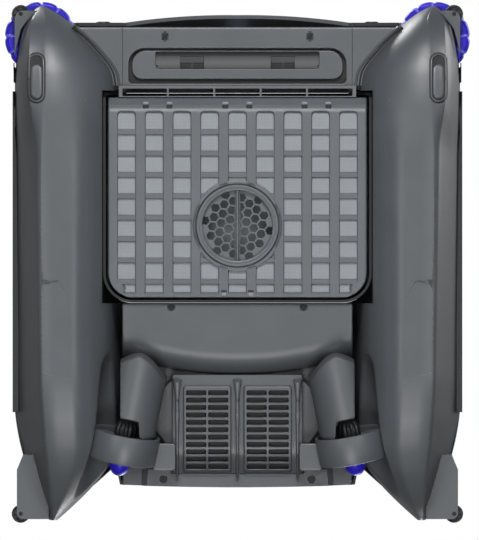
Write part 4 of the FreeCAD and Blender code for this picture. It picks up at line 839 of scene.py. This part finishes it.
def belly_slab(sizes):
    """The belly and the stern hull: flat to an arched crease, then round a quarter circle and up to the
    stern's floor. Rows follow the crease, and the screws stand in pits."""
    low, high, bend = (getattr(sizes, name) / MM for name in ("belly_floor", "stern_floor", "belly_round"))
    half, front, rear = 105.8, 37.2, 205.0
    screw_x, screw_y = 60.9, 41
    pit = (-3.6, -3.3, -1.6, 1.6, 3.3, 3.6)
    xs = lines_for([screw_x, -screw_x], -half, half, pit, 2.6)
    xs = np.sort(np.concatenate([xs, *[[s * (half - v) for s in (1, -1)] for v in (0.15, 0.5, 1.0, 1.7)]]))
    start = 81 - 17 * (xs / half) ** 2
    rows = [(np.full_like(xs, y), np.full_like(xs, low + up)) for y, up in
            ((front, 2), (front + 0.3, 1.1), (front + 0.8, 0.5), (front + 1.4, 0))]
    rows += [(np.full_like(xs, screw_y + v), np.full_like(xs, low)) for v in (-2, 0, 2, 3.3, 3.6, 8, 14)]
    for share in np.linspace(0, 1, 12)[1:]:
        rows.append((55 + (start - 55) * share, np.full_like(xs, low)))
    for lean in np.linspace(0, np.pi / 2, 26)[1:]:
        rows.append((start + bend * np.sin(lean), np.full_like(xs, low + bend * (1 - np.cos(lean)))))
    rows.append((start + bend + 0.05, np.full_like(xs, high - 0.6)))
    for share in np.linspace(0, 1, 10):
        rows.append((start + bend + 0.6 + (rear - start - bend - 0.6) * share, np.full_like(xs, high)))
    x = np.repeat(xs[None], len(rows), 0)
    y, z = (np.stack([row[k] for row in rows]) for k in (0, 1))
    for s in (1, -1):
        z += np.where(np.hypot(x - s * screw_x, y - screw_y) < 3.4, 2.1, 0)
    side = np.clip(half - np.abs(x), 0, 1.7)
    z += 1.7 - np.sqrt(1.7 ** 2 - (1.7 - side) ** 2)
    return slab(x, y, z, 94.4)


# Across the hull, the middles of the vent's columns of slots, and half of a slot's width and height.
SLATS = [-38.0, -17.7, 17.7, 38.0]
SLOT = (9.3, 2.3)


def vent_rise(y):
    """How far the vent housing's face has risen: none ahead of its bend, and 0.7 of the way past it."""
    return 0.35 * (np.hypot(y - 176, 7) + y - 176)


def vent_slab(sizes):
    """The vent housing: a plate whose rear turns up, with four columns of eleven rounded slots sunk in it."""
    base = sizes.vent_floor / MM
    rows = [120 + 6.8 * i for i in range(11)]
    off = (-0.5, -0.3, 0, 0.35)
    xs = lines_for([v + s * SLOT[0] for v in SLATS for s in (-1, 1)], -60, 60, (*off, 0.9, 1.6, -0.9, -1.6),
                   3)
    sides = [s * (v + w * d) for s in (1, -1) for v,
             w in ((5.8, 1), (49.8, -1)) for d in (-0.3, 0, 0.25, 0.7, 1.3)]
    xs = np.unique(np.round(np.concatenate([xs, sides]), 3))
    xs = np.sort(np.concatenate([xs, [s * (60 - v) for v in (0.2, 0.7, 1.4) for s in (1, -1)]]))
    ys = lines_for([v + s * SLOT[1] for v in rows for s in (-1, 1)], 103.5, 194, (*off, -0.9, 0.9), 2.4)
    ys = np.unique(np.round(np.concatenate([ys,
                                            [113.3, 113.6, 113.9, 114.4, 115.2, 192.8, 192.5, 192.1, 191.4]]),
                                            3))
    x, y = np.meshgrid(xs, ys)
    apart = np.full_like(x, 99.0)
    for middle_x in SLATS:
        for middle_y in rows:
            apart = np.minimum(apart, round_box(x, y, (middle_x, middle_y), SLOT, 1.7, 1.7))
    panel = np.minimum(*(round_box(x, y, (s * 27.8, 153.2), (22.0, 39.6), 2.5, 2.5) for s in (1, -1)))
    z = base + vent_rise(y) + drop(apart, 0.35, 4.2) + drop(-panel, 1.6, 3.4)
    side = np.clip(60 - np.abs(x), 0, 1.4)
    z += 1.4 - np.sqrt(1.4 ** 2 - (1.4 - side) ** 2)
    return slab(x, y, z, 73.0)


def fin(middle):
    """A skid: sections along the hull, each a blade with a rounded foot, flared at its front end and
    notched."""
    y = lines_for([112, 126.5, 137, 140], 106.6, 201.6, (-0.2, 0, 0.2), 1.5)
    foot = np.interp(y, [106.6, 110, 122, 126.2, 126.8, 136.7, 137.3, 176, 201.6],
                     [52, 43, 40, 40, 42.5, 42.5, 40, 40, 62])
    wide = np.interp(y, [106.6, 111, 120, 126, 137, 141, 150, 195, 201.6],
                     [5.0, 3.4, 1.9, 1.5, 1.5, 2.3, 1.1, 1.0, 0.3])
    root = np.interp(y, [106.6, 112, 122, 195, 201.6], [5.4, 4.0, 2.6, 2.2, 0.5])
    lean = np.linspace(-np.pi / 2, np.pi / 2, 11)
    x = np.concatenate([-root[:, None], wide[:, None] * np.sin(lean), root[:, None]], 1)
    drop_z = np.concatenate([np.full((len(y), 1), 73.0), foot[:, None] + wide[:, None] * (1 - np.cos(lean)),
                             np.full((len(y), 1), 73.0)], 1)
    return np.stack([middle + x, np.repeat(y[:, None], x.shape[1], 1), drop_z], -1)


class CLEANER_OT_stern(bpy.types.Operator):
    """Adds the belly, the vent housing, the skids and the rear rim"""
    bl_idname = "cleaner.stern"
    bl_label = "Stern"

    def execute(self, context):
        sizes = context.scene.cleaner_sizes
        piece("belly_skin", [(belly_slab(sizes), False)], ["hull"], "hull", ["belly_shell"], 40)
        base = sizes.vent_floor / MM

        # Painted shade: the deep floors of the slots are painted near black.
        def painted_shade_slots(middle):
            x, y, z = middle.T
            high = (z > base + vent_rise(y) + 3) & (z < 72)
            near_x = np.min([np.abs(np.abs(x) - v) for v in SLATS[2:]], axis=0) < SLOT[0]
            return high & near_x & (y > 116) & (y < 191.5)

        piece("vent_plate", [(vent_slab(sizes), False)], ["hull", "inside"], "hull", ["vent_housing"],
              30, painted_shade_slots)
        piece("skid_fins", [(fin(v), False) for v in (-55.4, 0.0, 55.4)], ["hull"], "hull", ["skids"],
              50)
        softened("rear_rim", "hull", "hull", 0.6)
        wedge = np.array([[-57.5, 106.5], [-57.5, 166], [-66, 166], [-78, 150], [-70, 118]])
        plates = []
        for turn in (1, -1):
            low = np.column_stack([wedge[:, 0] * turn, wedge[:, 1], np.full(5, 64.0)])
            plates.append((np.stack([low, low + [0, 0, 9]]), False))
        piece("stern_gussets", plates, ["hull"], "hull")
        return {"FINISHED"}


# ---------------------------------------------------------------- basket

# The lattice: middles of its columns and rows of windows, and half of a window's width. Middle of the
# tablet cap.
COLUMNS = [25.5 * k for k in range(-4, 5)]
LINES = [-129.7 + 19.65 * k for k in range(9)]
WINDOW = 8.2
CAP = np.array([0.0, -33.9])
# Across the hull, the clips that hold the floor in the tub: six in front and two behind.
FRONT_CLIPS = (-84.3, -62.5, -11.1, 10.9, 61.7, 83.6)
REAR_CLIPS = (-12.4, 12.4)
# The bail handle: half its width, its hinge's place and height, and the place of its grip.
BAIL_HALF = 112.5
BAIL_HINGE = (22, 139.8)
BAIL_GRIP = -146


def lattice_slab(sizes):
    """The basket's floor from below: a flat face with nine sunk channels along the hull, and in each
    channel nine windows with rounded edges down to the net. The front edge is a chamfer with a rounded
    brow."""
    face, half = sizes.lattice_face / MM, 118.9
    xs = lines_for(around([v - WINDOW for v in COLUMNS],
                          [v + WINDOW for v in COLUMNS]) + [v + s * w for v in COLUMNS
                   for w in (7.6, 7.0, 6.2, 5.4) for s in (1, -1)], -half, half, (0,), 3.2)
    xs = np.sort(np.concatenate([xs, [s * (half - v) for v in (0.12, 0.4, 0.8, 1.3) for s in (1, -1)]]))
    fronts = [v - (8.8 if k == 0 else 7.6) for k, v in enumerate(LINES)]
    rears = [min(v + 7.6, 27.7) for v in LINES]
    brow = [-151.7, -150, -148, -146, -144.4, -143.2, -142.2, -141.2, -140.2, -139.2, -138.6, -138, -137.3,
            -136.5]
    ys = lines_for(around(fronts, rears) + brow + [32.3 - v for v in (0.12, 0.4, 0.8, 1.3)], -151.7, 32.3,
                   (0,), 2.6)
    x, y = np.meshgrid(xs, ys)
    # The rear corners: outer columns close in along a circle of 23 mm.
    bend = np.clip(y - (32.3 - 23), 0, 23)
    reach = half - 23 + np.sqrt(23.0001 ** 2 - bend ** 2)
    outer = np.abs(x) > 94
    x = np.where(outer, np.sign(x) * (94 + (np.abs(x) - 94) * (reach - 94) / (half - 94)), x)
    groove = np.min([round_box(x, y, (v, -55.3), (WINDOW, 83.6), 3.4, 0.5) for v in COLUMNS], axis=0)
    window = np.full_like(x, 99.0)
    for middle_x in COLUMNS:
        for k, (a, b) in enumerate(zip(fronts, rears)):
            trim = 6 if k == 8 and abs(middle_x) > 100 else 0
            shift = -np.sign(middle_x) * trim / 2
            size = (WINDOW - trim / 2, (b - a) / 2)
            near = round_box(x, y, (middle_x + shift, (a + b) / 2), size, 3.2 if k == 0 else 0.5, 0.5)
            window = np.minimum(window, near)
    seat = 39.6 - np.hypot(x - CAP[0], y - CAP[1])
    groove, window = np.maximum(groove, seat), np.maximum(window, seat)
    z = face + drop(groove, 0.9, 0.9, 0.3) + drop(window, 0.45, 2.1, 0.3)
    # The brow: a circle of 6 mm between the flat face and a chamfer at 45 degrees.
    z += np.interp(y, [-151.7, -144.0, -142.4, -140.6, -138.8, -137.0], [10.6, 2.9, 1.6, 0.62, 0.14, 0])
    side = np.clip(np.minimum(reach - np.abs(x), 32.3 - y), 0, 1.3)
    z += 1.3 - np.sqrt(1.3 ** 2 - (1.3 - side) ** 2)
    back = np.maximum(42.35, z.max(axis=1, keepdims=True) * (y[:, :1] < -143) + 0.1)
    return slab(x, y, z, back + 0 * x)


def cut_round(item, middle, radius, low, high):
    """Cuts a round hole through a piece."""
    rod = turned([(0.01, low), (radius, low), (radius, high), (0.01, high)], 96) + [*middle, 0]
    tool = piece("cutter", [(rod, False)], ["inside"], "hull")
    cut = item.modifiers.new("Hole", "BOOLEAN")
    cut.operation = "DIFFERENCE"
    cut.solver = "EXACT"
    cut.object = tool
    whole = item.evaluated_get(bpy.context.evaluated_depsgraph_get())
    mesh = bpy.data.meshes.new_from_object(whole)
    item.modifiers.clear()
    item.data = mesh
    bpy.data.objects.remove(tool)


class CLEANER_OT_basket(bpy.types.Operator):
    """Adds the basket's lattice, its tub, lid and bail handle"""
    bl_idname = "cleaner.basket"
    bl_label = "Basket"

    def execute(self, context):
        sizes = context.scene.cleaner_sizes
        face = sizes.lattice_face / MM

        def netted(middle):
            x, y, z = middle.T
            return (z > face + 2.75) & (z < 42.34) & (y > -140) & (y < 29) & (np.abs(x) < 111)

        seat = turned([(38.5, 42.2), (38.5, 39.9), (38.9, 39.35), (39.6, face), (41.2, face), (41.9, 39.7),
                       (42.1, 40.3),
                       (42.1, 42.2)], 144) + [*CAP, 0]
        floor = piece("basket_lattice", [(lattice_slab(sizes), False)], ["lattice", "mesh"], "basket",
                      ["basket_floor"], 30,
                      netted)
        cut_round(floor, CAP, 38.9, 30, 60)
        piece("cap_seat", [(seat, True)], ["lattice"], "basket")
        softened("basket_tub", "lattice", "basket", 0.4)
        softened("basket_frame", "lattice", "basket", 0.5)
        # The well gets the near-black finish: painted shade for the dark gap round the basket.
        softened("basket_well", "inside", "hull", 0.4)
        softened("tablet_cage", "lattice", "basket", 0.3)
        softened("basket_lid", "smoked", "lid", 0.7)
        # The blocks behind the clips are painted shade: near black for the hollows the clips sit in.
        clips, shade_pits = [], []
        for x in FRONT_CLIPS:
            clips.append((soft_block((x - 2.7, -147.9, 43.0), (x + 2.7, -145.2, 48)), False))
            shade_pits.append((soft_block((x - 2.7, -145.1, 40.2), (x + 2.7, -141.7, 45), 12), False))
        for x in REAR_CLIPS:
            clips.append((soft_block((x - 2.2, 27.6, 38.4), (x + 2.2, 30.6, 41)), False))
            shade_pits.append((soft_block((x - 2.6, 25.4, 38.9), (x + 2.6, 27.5, 41)), False))
        piece("basket_clips", clips, ["mesh"], "basket")
        piece("clip_slots_painted_shade", shade_pits, ["inside"], "basket")
        # The bail: one rod from eye to eye round the lid, with its corners on arcs of 8 mm.
        quarter = np.linspace(0, np.pi / 2, 12)
        corner = np.stack([BAIL_HALF - 8 + 8 * np.cos(quarter), BAIL_GRIP + 8 - 8 * np.sin(quarter)], -1)
        side = [[BAIL_HALF, y] for y in (BAIL_HINGE[0], -20, -80, -130)]
        path = np.concatenate([side, corner, [[60.0, BAIL_GRIP], [0, BAIL_GRIP]]])
        path = np.concatenate([path, path[-2::-1] * [-1, 1]])
        path = np.column_stack([path, np.full(len(path), BAIL_HINGE[1])])
        rod = along_path(path, sizes.bail_radius / MM, 20)
        eyes = []
        for s in (1, -1):
            tube = turned([(1.35, -2.2), (2.6, -2.2), (2.95, -1.9), (2.95, 1.9), (2.6, 2.2), (1.35, 2.2)], 32)
            eyes.append((tube[..., [2, 1, 0]] + [s * BAIL_HALF, *BAIL_HINGE], True))
        line = [(x, BAIL_GRIP, BAIL_HINGE[1]) for x in np.linspace(-42, 42, 43)]
        grip = along_path(line, 3.1 + 0.35 * np.sin(np.linspace(0, 20 * np.pi, 43)), 24)
        piece("bail_rod", [(rod, False), *eyes, (grip, False)], ["lattice"], "bail",
              ["bail_handle"])
        return {"FINISHED"}


class CLEANER_OT_dispenser(bpy.types.Operator):
    """Adds the tablet dispenser's twist cap and its grille"""
    bl_idname = "cleaner.dispenser"
    bl_label = "Dispenser"

    def execute(self, context):
        ring = turned([(32.3, 44), (32.3, 40.4), (32.7, 39.6), (33.6, 39.2), (34.3, 39.15), (34.5, 39.6),
                       (35.0, 39.6),
                       (35.2, 39.0), (36.2, 38.8), (37.3, 39.0), (37.9, 39.7), (38.0, 40.4), (38.0, 42.8),
                       (40.6, 42.8),
                       (40.6, 44)], 120) + [*CAP, 0]
        bar = soft_block((-1.1, -32.7, 39.5), (1.1, 32.7, 43.9), 5, 13, 40) + [*CAP, 0]
        ribs = [(soft_block((s * 2.1 - 0.45, -31.5, 41.6), (s * 2.1 + 0.45, 31.5, 43.9), 5, 9, 24) + [*CAP,
                                                                                                      0],
                                                                                                      False)
                for s in (1, -1)]
        piece("twist_cap", [(ring, True), (bar, False), *ribs], ["lattice"], "cap",
              ["dispenser_cap"])
        softened("dispenser_grille", "lattice", "basket", 0.3)
        return {"FINISHED"}


# ---------------------------------------------------------------- wheels, rollers and brackets

def corner_wheel(sizes):
    """A corner wheel: a profile turned round its axle. The radius dips between twelve lobes, and a rib stands
    along each dip on both faces."""
    big = sizes.wheel_radius / MM
    rim = np.linspace(-np.pi / 2, np.pi / 2, 15)
    half = [(4.06, 1.2), (9.5, 1.2), (10.2, 2.6), (13, 2.6), (15, 0.9), (21, 0.9), (23.5, 0.1), (27, 0.0),
            (29.5, 0.0)]
    profile = [*half, *[(big - 3.2 + 3.2 * np.cos(a), 7 + (7 - 0.4) * np.sin(a)) for a in rim],
               *[(r, 14 - z) for r, z in half[::-1]]]
    points = turned(profile, 360)
    r, z = np.hypot(points[..., 0], points[..., 1]), points[..., 2]
    angle = np.arctan2(points[..., 1], points[..., 0])
    dip = np.abs(np.cos(6 * angle)) ** 24
    far = step_up(r, 22, 27)
    scale = 1 - (1.0 / big) * far * dip - 0.012 * far * (1 - np.abs(np.sin(6 * angle)))
    rib = np.abs(np.cos(6 * (angle + 0.05))) ** 90
    z = z + np.where(z < 7, -1, 1) * 0.55 * rib * step_up(r, 19, 23) * (1 - step_up(r, 31, 32.5))
    return np.stack([points[..., 0] * scale, points[..., 1] * scale, z], -1) + [*WHEEL, 87]


def roller(place):
    """A guide roller at a place: a barrel with two shallow grooves, whose ends are sunk between six
    spokes."""
    half = [(2.06, 0.6), (3.2, 0.6), (3.5, 1.6), (6.4, 1.6), (6.8, 0.5), (7.8, 0.2), (8.3, 0.9)]
    barrel = [(8.4, 3), (8.15, 4), (8.4, 5), (8.4, 7.5), (8.4, 10), (8.15, 11), (8.4, 12)]
    profile = [*half, *barrel, *[(r, 15 - z) for r, z in half[::-1]]]
    points = turned(profile, 96)
    r, z = np.hypot(points[..., 0], points[..., 1]), points[..., 2]
    spoke = np.abs(np.cos(3 * np.arctan2(points[..., 1], points[..., 0]))) ** 8
    near_end = (r > 3.3) & (r < 6.6)
    z = np.where(near_end & (z < 7), z - 1.1 * spoke, np.where(near_end, z + 1.1 * spoke, z))
    return np.concatenate([points[..., :2], z[..., None]], -1) + place


class CLEANER_OT_wheels(bpy.types.Operator):
    """Adds the corner wheels, the guide rollers, their brackets and the rubbing strips"""
    bl_idname = "cleaner.wheels"
    bl_label = "Wheels"

    def execute(self, context):
        shell = [(corner_wheel(context.scene.cleaner_sizes), True)]

        # Paler blue on the wheel: a painted highlight along the ribs on its faces, and a faint band of real
        # wear at the rim.
        def wear_and_sheen(corners):
            centre = corners[:, :2] * [np.sign(corners[0, 0]), 1] - WHEEL
            r = np.hypot(*centre.T)
            rib = np.abs(np.cos(6 * (np.arctan2(centre[:, 1], centre[:, 0]) + 0.05))) ** 60
            return np.clip(rib * step_up(r, 21, 25) * 0.9 + 0.12 * step_up(r, 30, 33), 0, 1)

        for hand, turn in (("right", list), ("left", flipped)):
            piece(f"wheel_{hand}", turn(shell), ["blue"], f"wheel_{hand}", [f"corner_wheel_{hand}"],
                  40, None, wear_and_sheen)
            for where, y, short in (("front", -229, "f"), ("rear", 231.5, "r")):
                points = roller((199.6, y, 65))
                piece(f"roller_{where}_{hand}_barrel", turn([(points, True)]), ["roller"],
                      f"roller_{short}{hand[0]}",
                      [f"roller_{where}_{hand}"])
        softened("roller_brackets", "hull", "hull", 0.45)
        softened("rub_strips", "roller", "hull", 0.8)
        return {"FINISHED"}


# ---------------------------------------------------------------- thrusters

def blade(turn, radius):
    """A propeller blade: sections from the hub out, each a thin lens pitched less the further out it is,
    and swept back towards the tip. Local axes are aside, along and up."""
    share = np.linspace(0, 1, 16)[:, None]
    r = 9.0 + (radius - 9.0) * share
    pitch = np.radians(62 - 30 * share)
    chord = 13 * np.sqrt(np.clip(1 - (share * 0.93) ** 3, 0.02, 1))
    a = np.linspace(0, 2 * np.pi, 24, endpoint=False)[None]
    lengthwise, thick = chord / 2 * np.cos(a), 0.9 * (1 - 0.55 * share) * np.sin(a)
    sweep = 0.25 * share ** 2
    around_hub = (lengthwise * np.cos(pitch) - thick * np.sin(pitch)) / r + sweep + turn
    along = lengthwise * np.sin(pitch) + thick * np.cos(pitch)
    return np.stack([r * np.sin(around_hub), along, r * np.cos(around_hub)], -1)


def along_axis(profile, columns=72):
    """A profile of (radius, distance along) turned round the thruster's axis, in its own axes."""
    return turned(profile, columns)[..., [0, 2, 1]]


def pod_shell(radius):
    """The motor pod: a U-shaped section, round below and straight up into the hull, carried along the
    thruster's axis. Its front end is an arch in plan, and its rear end is notched round the propeller's
    hub."""
    lean = np.linspace(-np.pi / 2, np.pi / 2, 61)
    aside = np.concatenate([[-radius], radius * np.sin(lean), [radius]])
    low = np.concatenate([[36], -radius * np.cos(lean), [36]])
    share = np.abs(aside) / radius
    front = -88 + 22 * share ** 1.7
    rear = -28.5 + 15 * step_up(-aside, 9, 14)
    # Each row: how far it is from the front end to the rear end, plus an offset, and how far it is drawn up.
    rows = [(0, 0, 30), (0, 0, 1.6), (0, 0.25, 0.8), (0, 0.8, 0.25), (0, 1.7, 0)]
    rows += [(s, 1.7 * (1 - s) - 1.7 * s, 0) for s in np.linspace(0, 1, 40)[1:]]
    rows += [(1, -0.8, 0.25), (1, -0.25, 0.8), (1, 0, 1.6), (1, 0, 30)]
    part, shift, drawn = (np.array(column)[:, None] for column in zip(*rows))
    along = front + (rear - front) * part + shift
    up = np.minimum(low + drawn, 36)
    points = on_thruster(np.stack([aside + 0 * along, along, up + 0 * along], -1))
    points[..., 0] = np.minimum(points[..., 0], 107.5)
    points[..., 2] = np.minimum(points[..., 2], 73.5)
    return points


class CLEANER_OT_thrusters(bpy.types.Operator):
    """Adds the motor pods, ducts, propellers and tail cones"""
    bl_idname = "cleaner.thrusters"
    bl_label = "Thrusters"

    def execute(self, context):
        sizes = context.scene.cleaner_sizes
        big = sizes.duct_radius / MM
        ring = along_axis([(29.2, -11), (29.6, -12.6), (30.6, -13.4), (31.6, -13), (big, -11.5),
                           (big + 0.35, 0), (big, 11.5),
                           (31.5, 12.8), (30.5, 13.2), (29.6, 12.6), (29.1, 11), (29, 0)], 120)
        strut = soft_block((57.0, 166.5, 39.4), (78.0, 191.5, 44.6), 9, 13, 48)
        pylon = on_thruster(soft_block((-11, -11, 29.5), (11, 11, 40), 8))
        pylon[..., 2] = np.minimum(pylon[..., 2], 73)
        vanes = []
        for turn in (math.radians(62), math.radians(-62)):
            block = soft_block((-1.1, -10, 11.5), (1.1, -3, 30), 5)
            c, s = math.cos(turn), math.sin(turn)
            block = np.stack([block[..., 0] * c + block[..., 2] * s, block[..., 1],
                              block[..., 2] * c - block[..., 0] * s], -1)
            vanes.append((on_thruster(block), False))
        pod = pod_shell(sizes.pod_radius / MM)
        dome = np.linspace(0.02, np.pi / 2, 14)
        hub = along_axis([*[(10.6 * np.sin(a), -16 - 10.5 * np.cos(a)) for a in dome], (10.6, -12),
                          (10.2, -4), (10.2, 11), (2, 11)], 144)
        swirl = np.arctan2(hub[..., 0], hub[..., 2])
        front = 1 - step_up(hub[..., 1], -12, -8)
        flute = 1 - 0.11 * front * (0.5 - 0.5 * np.cos(12 * swirl)) ** 2
        hub[..., 0] *= flute
        hub[..., 2] *= flute
        blades = [(on_thruster(blade(2 * np.pi / 3 * k + 0.35, 27.2)), False) for k in range(3)]
        cone = along_axis([(10.2, 11), (10.5, 11.6), *[(10.5 * np.cos(a) ** 0.9, 12.5 + 15.3 * np.sin(a))
                                                        for a in np.linspace(0, np.pi / 2 - 0.03, 18)]], 72)

        # The cones take none of the paler blue: no wear and no painted highlight.
        def no_wear_or_sheen(corners):
            return np.zeros(len(corners))

        for hand, turn in (("right", list), ("left", flipped)):
            screw = f"screw_{hand}"
            piece(f"duct_ring_{hand}",
                  turn([(on_thruster(ring), True), (strut, False), (pylon, False), *vanes]), ["hull"],
                  "hull", [f"duct_{hand}"], 40)
            piece(f"pod_{hand}", turn([(pod, False)]), ["hull"], "hull", [f"motor_pod_{hand}"], 45)
            piece(f"fan_{hand}", turn([(on_thruster(hub), False), *blades]), ["fan"], screw,
                  [f"propeller_{hand}"], 30)
            piece(f"cone_{hand}", turn([(on_thruster(cone), False)]), ["blue"], screw,
                  [f"tail_cone_{hand}"], 40, None,
                  no_wear_or_sheen)
        return {"FINISHED"}


# ---------------------------------------------------------------- finishes on the frame, and the stage

class CLEANER_OT_finishes(bpy.types.Operator):
    """Gives every node of the frame its finish"""
    bl_idname = "cleaner.finishes"
    bl_label = "Finishes"

    def execute(self, context):
        make_finishes(context.scene.cleaner_colours)
        slots = {part["node"]: part["material_slot"] for part in frame["record"]["subparts"]}
        for name, node in frame["nodes"].items():
            for holder in node.material_slots:
                holder.material = made["screw" if name in ("hull_screws", "wheel_axles") else slots[name]]
        return {"FINISHED"}


class CLEANER_OT_stage(bpy.types.Operator):
    """Adds the floor, the lights and the camera"""
    bl_idname = "cleaner.stage"
    bl_label = "Stage"

    def execute(self, context):
        scene = context.scene
        scene.view_settings.view_transform = "Standard"
        world = bpy.data.worlds.new("Studio")
        scene.world = world
        world.use_nodes = True
        tree = world.node_tree
        tree.nodes.clear()
        seen = add(tree, "ShaderNodeLightPath").outputs["Is Camera Ray"]
        ambient = add(tree, "ShaderNodeBackground", {"Color": (0.93, 0.96, 1, 1), "Strength": 1.0})
        # The studio is dark at the horizon, so that upright walls stay in shade.
        way = add(tree, "ShaderNodeSeparateXYZ",
                  {"Vector": add(tree, "ShaderNodeTexCoord").outputs["Generated"]})
        steep = add(tree, "ShaderNodeMath", {0: way.outputs["Z"]}, operation="ABSOLUTE")
        level = spread(tree, steep.outputs[0], 0.05, 0.24, 0.1, 0.9)
        tree.links.new(level, ambient.inputs["Strength"])
        backdrop = add(tree, "ShaderNodeBackground", {"Color": (1, 1, 1, 1), "Strength": 1.0})
        both = add(tree, "ShaderNodeMixShader", {0: seen, 1: ambient.outputs[0], 2: backdrop.outputs[0]})
        add(tree, "ShaderNodeOutputWorld", {"Surface": both.outputs[0]})

        # The floor shows from above only, so that the camera under the hull looks past it.
        size = 40.0
        mesh = bpy.data.meshes.new("floor")
        mesh.from_pydata([(-size, -size, 0), (size, -size, 0), (size, size, 0), (-size, size, 0)], [],
                         [(0, 1, 2, 3)])
        floor = bpy.data.objects.new("floor", mesh)
        scene.collection.objects.link(floor)
        material, tree, place = blank("Studio floor, painted")
        cloud = noise(tree, place, 300, 2)
        tone = mixed(tree, spread(tree, cloud, 0, 1), scaled(scene.cleaner_colours.floor, 0.985),
                     scene.cleaner_colours.floor)
        paint = add(tree, "ShaderNodeBsdfPrincipled", {"Base Color": tone, "Roughness": 0.75})
        clear = add(tree, "ShaderNodeBsdfTransparent")
        under = add(tree, "ShaderNodeNewGeometry").outputs["Backfacing"]
        side = add(tree, "ShaderNodeMixShader", {0: under, 1: paint.outputs[0], 2: clear.outputs[0]})
        add(tree, "ShaderNodeOutputMaterial", {"Surface": side.outputs[0]})
        mesh.materials.append(material)
        floor.visible_shadow = False
        floor.visible_diffuse = False
        floor.visible_glossy = False

        # Place, target, size in metres, power in watts.
        lamps = {
            "under_fill": ((0.0, -0.2, -2.2), (0, 0, 0), 2.0, 3),
            "under_bow": ((0.0, -1.5, -1.6), (0, 0, 0.05), 0.6, 44),
            "under_stern": ((0.0, 1.2, -2.0), (0, 0, 0.05), 0.7, 22),
            "under_left": ((-1.2, 0.0, -2.0), (0, 0, 0.05), 0.7, 10),
            "under_right": ((1.2, 0.0, -2.0), (0, 0, 0.05), 0.7, 10),
            "key": ((-1.3, -1.7, 2.2), (0, 0, 0.05), 1.4, 55),
            "fill": ((1.8, -0.8, 1.6), (0, 0, 0.05), 1.6, 22),
            "rim": ((0.6, 2.0, 1.9), (0, 0, 0.05), 1.4, 40),
        }
        for name, (at, target, width, power) in lamps.items():
            lamp = bpy.data.lights.new(name, "AREA")
            lamp.size = width
            lamp.energy = power
            lamp.shape = "DISK"
            light = bpy.data.objects.new(name, lamp)
            light.location = at
            way = np.array(target) - np.array(at)
            light.rotation_euler = Vector(way).to_track_quat("-Z", "Y").to_euler()
            light.visible_camera = False
            scene.collection.objects.link(light)

        lens = bpy.data.cameras.new("camera")
        lens.sensor_width = 36
        # How far away the camera is, and how much of the hull's height fills the picture, in metres.
        away, tall = 14.0, 0.4968
        lens.lens = lens.sensor_width * away / tall
        lens.clip_end = 80
        camera = bpy.data.objects.new("camera", lens)
        camera.location = (0.0019, 0.0069, 0.045 - away)
        # It looks straight up, with the bow at the top of the picture.
        camera.rotation_euler = (math.pi, 0, 0)
        scene.collection.objects.link(camera)
        scene.camera = camera
        return {"FINISHED"}


STEPS = (CLEANER_OT_finishes, CLEANER_OT_stage, CLEANER_OT_pontoons, CLEANER_OT_deck, CLEANER_OT_bow,
         CLEANER_OT_stern,
         CLEANER_OT_basket, CLEANER_OT_dispenser, CLEANER_OT_wheels, CLEANER_OT_thrusters)


class CLEANER_PT_panel(bpy.types.Panel):
    """Lists the steps that add the cleaner's surfaces, with their sizes and colours"""
    bl_idname = "CLEANER_PT_panel"
    bl_label = "Pool cleaner"
    bl_space_type = "VIEW_3D"
    bl_region_type = "UI"
    bl_category = "Pool cleaner"

    def draw(self, context):
        for step in STEPS:
            self.layout.operator(step.bl_idname)
        for group in (context.scene.cleaner_sizes, context.scene.cleaner_colours):
            for name in group.bl_rna.properties.keys():
                if name not in ("rna_type", "name"):
                    self.layout.prop(group, name)


CLASSES = (CleanerSizes, CleanerColours, *STEPS, CLEANER_PT_panel)


def register():
    for item in CLASSES:
        bpy.utils.register_class(item)
    bpy.types.Scene.cleaner_sizes = bpy.props.PointerProperty(type=CleanerSizes)
    bpy.types.Scene.cleaner_colours = bpy.props.PointerProperty(type=CleanerColours)


def unregister():
    del bpy.types.Scene.cleaner_colours
    del bpy.types.Scene.cleaner_sizes
    for item in reversed(CLASSES):
        bpy.utils.unregister_class(item)


def main():
    """Adds every piece in order."""
    register()
    for step in STEPS:
        group, name = step.bl_idname.split(".")
        getattr(getattr(bpy.ops, group), name)()


if __name__ == "__main__":
    main()
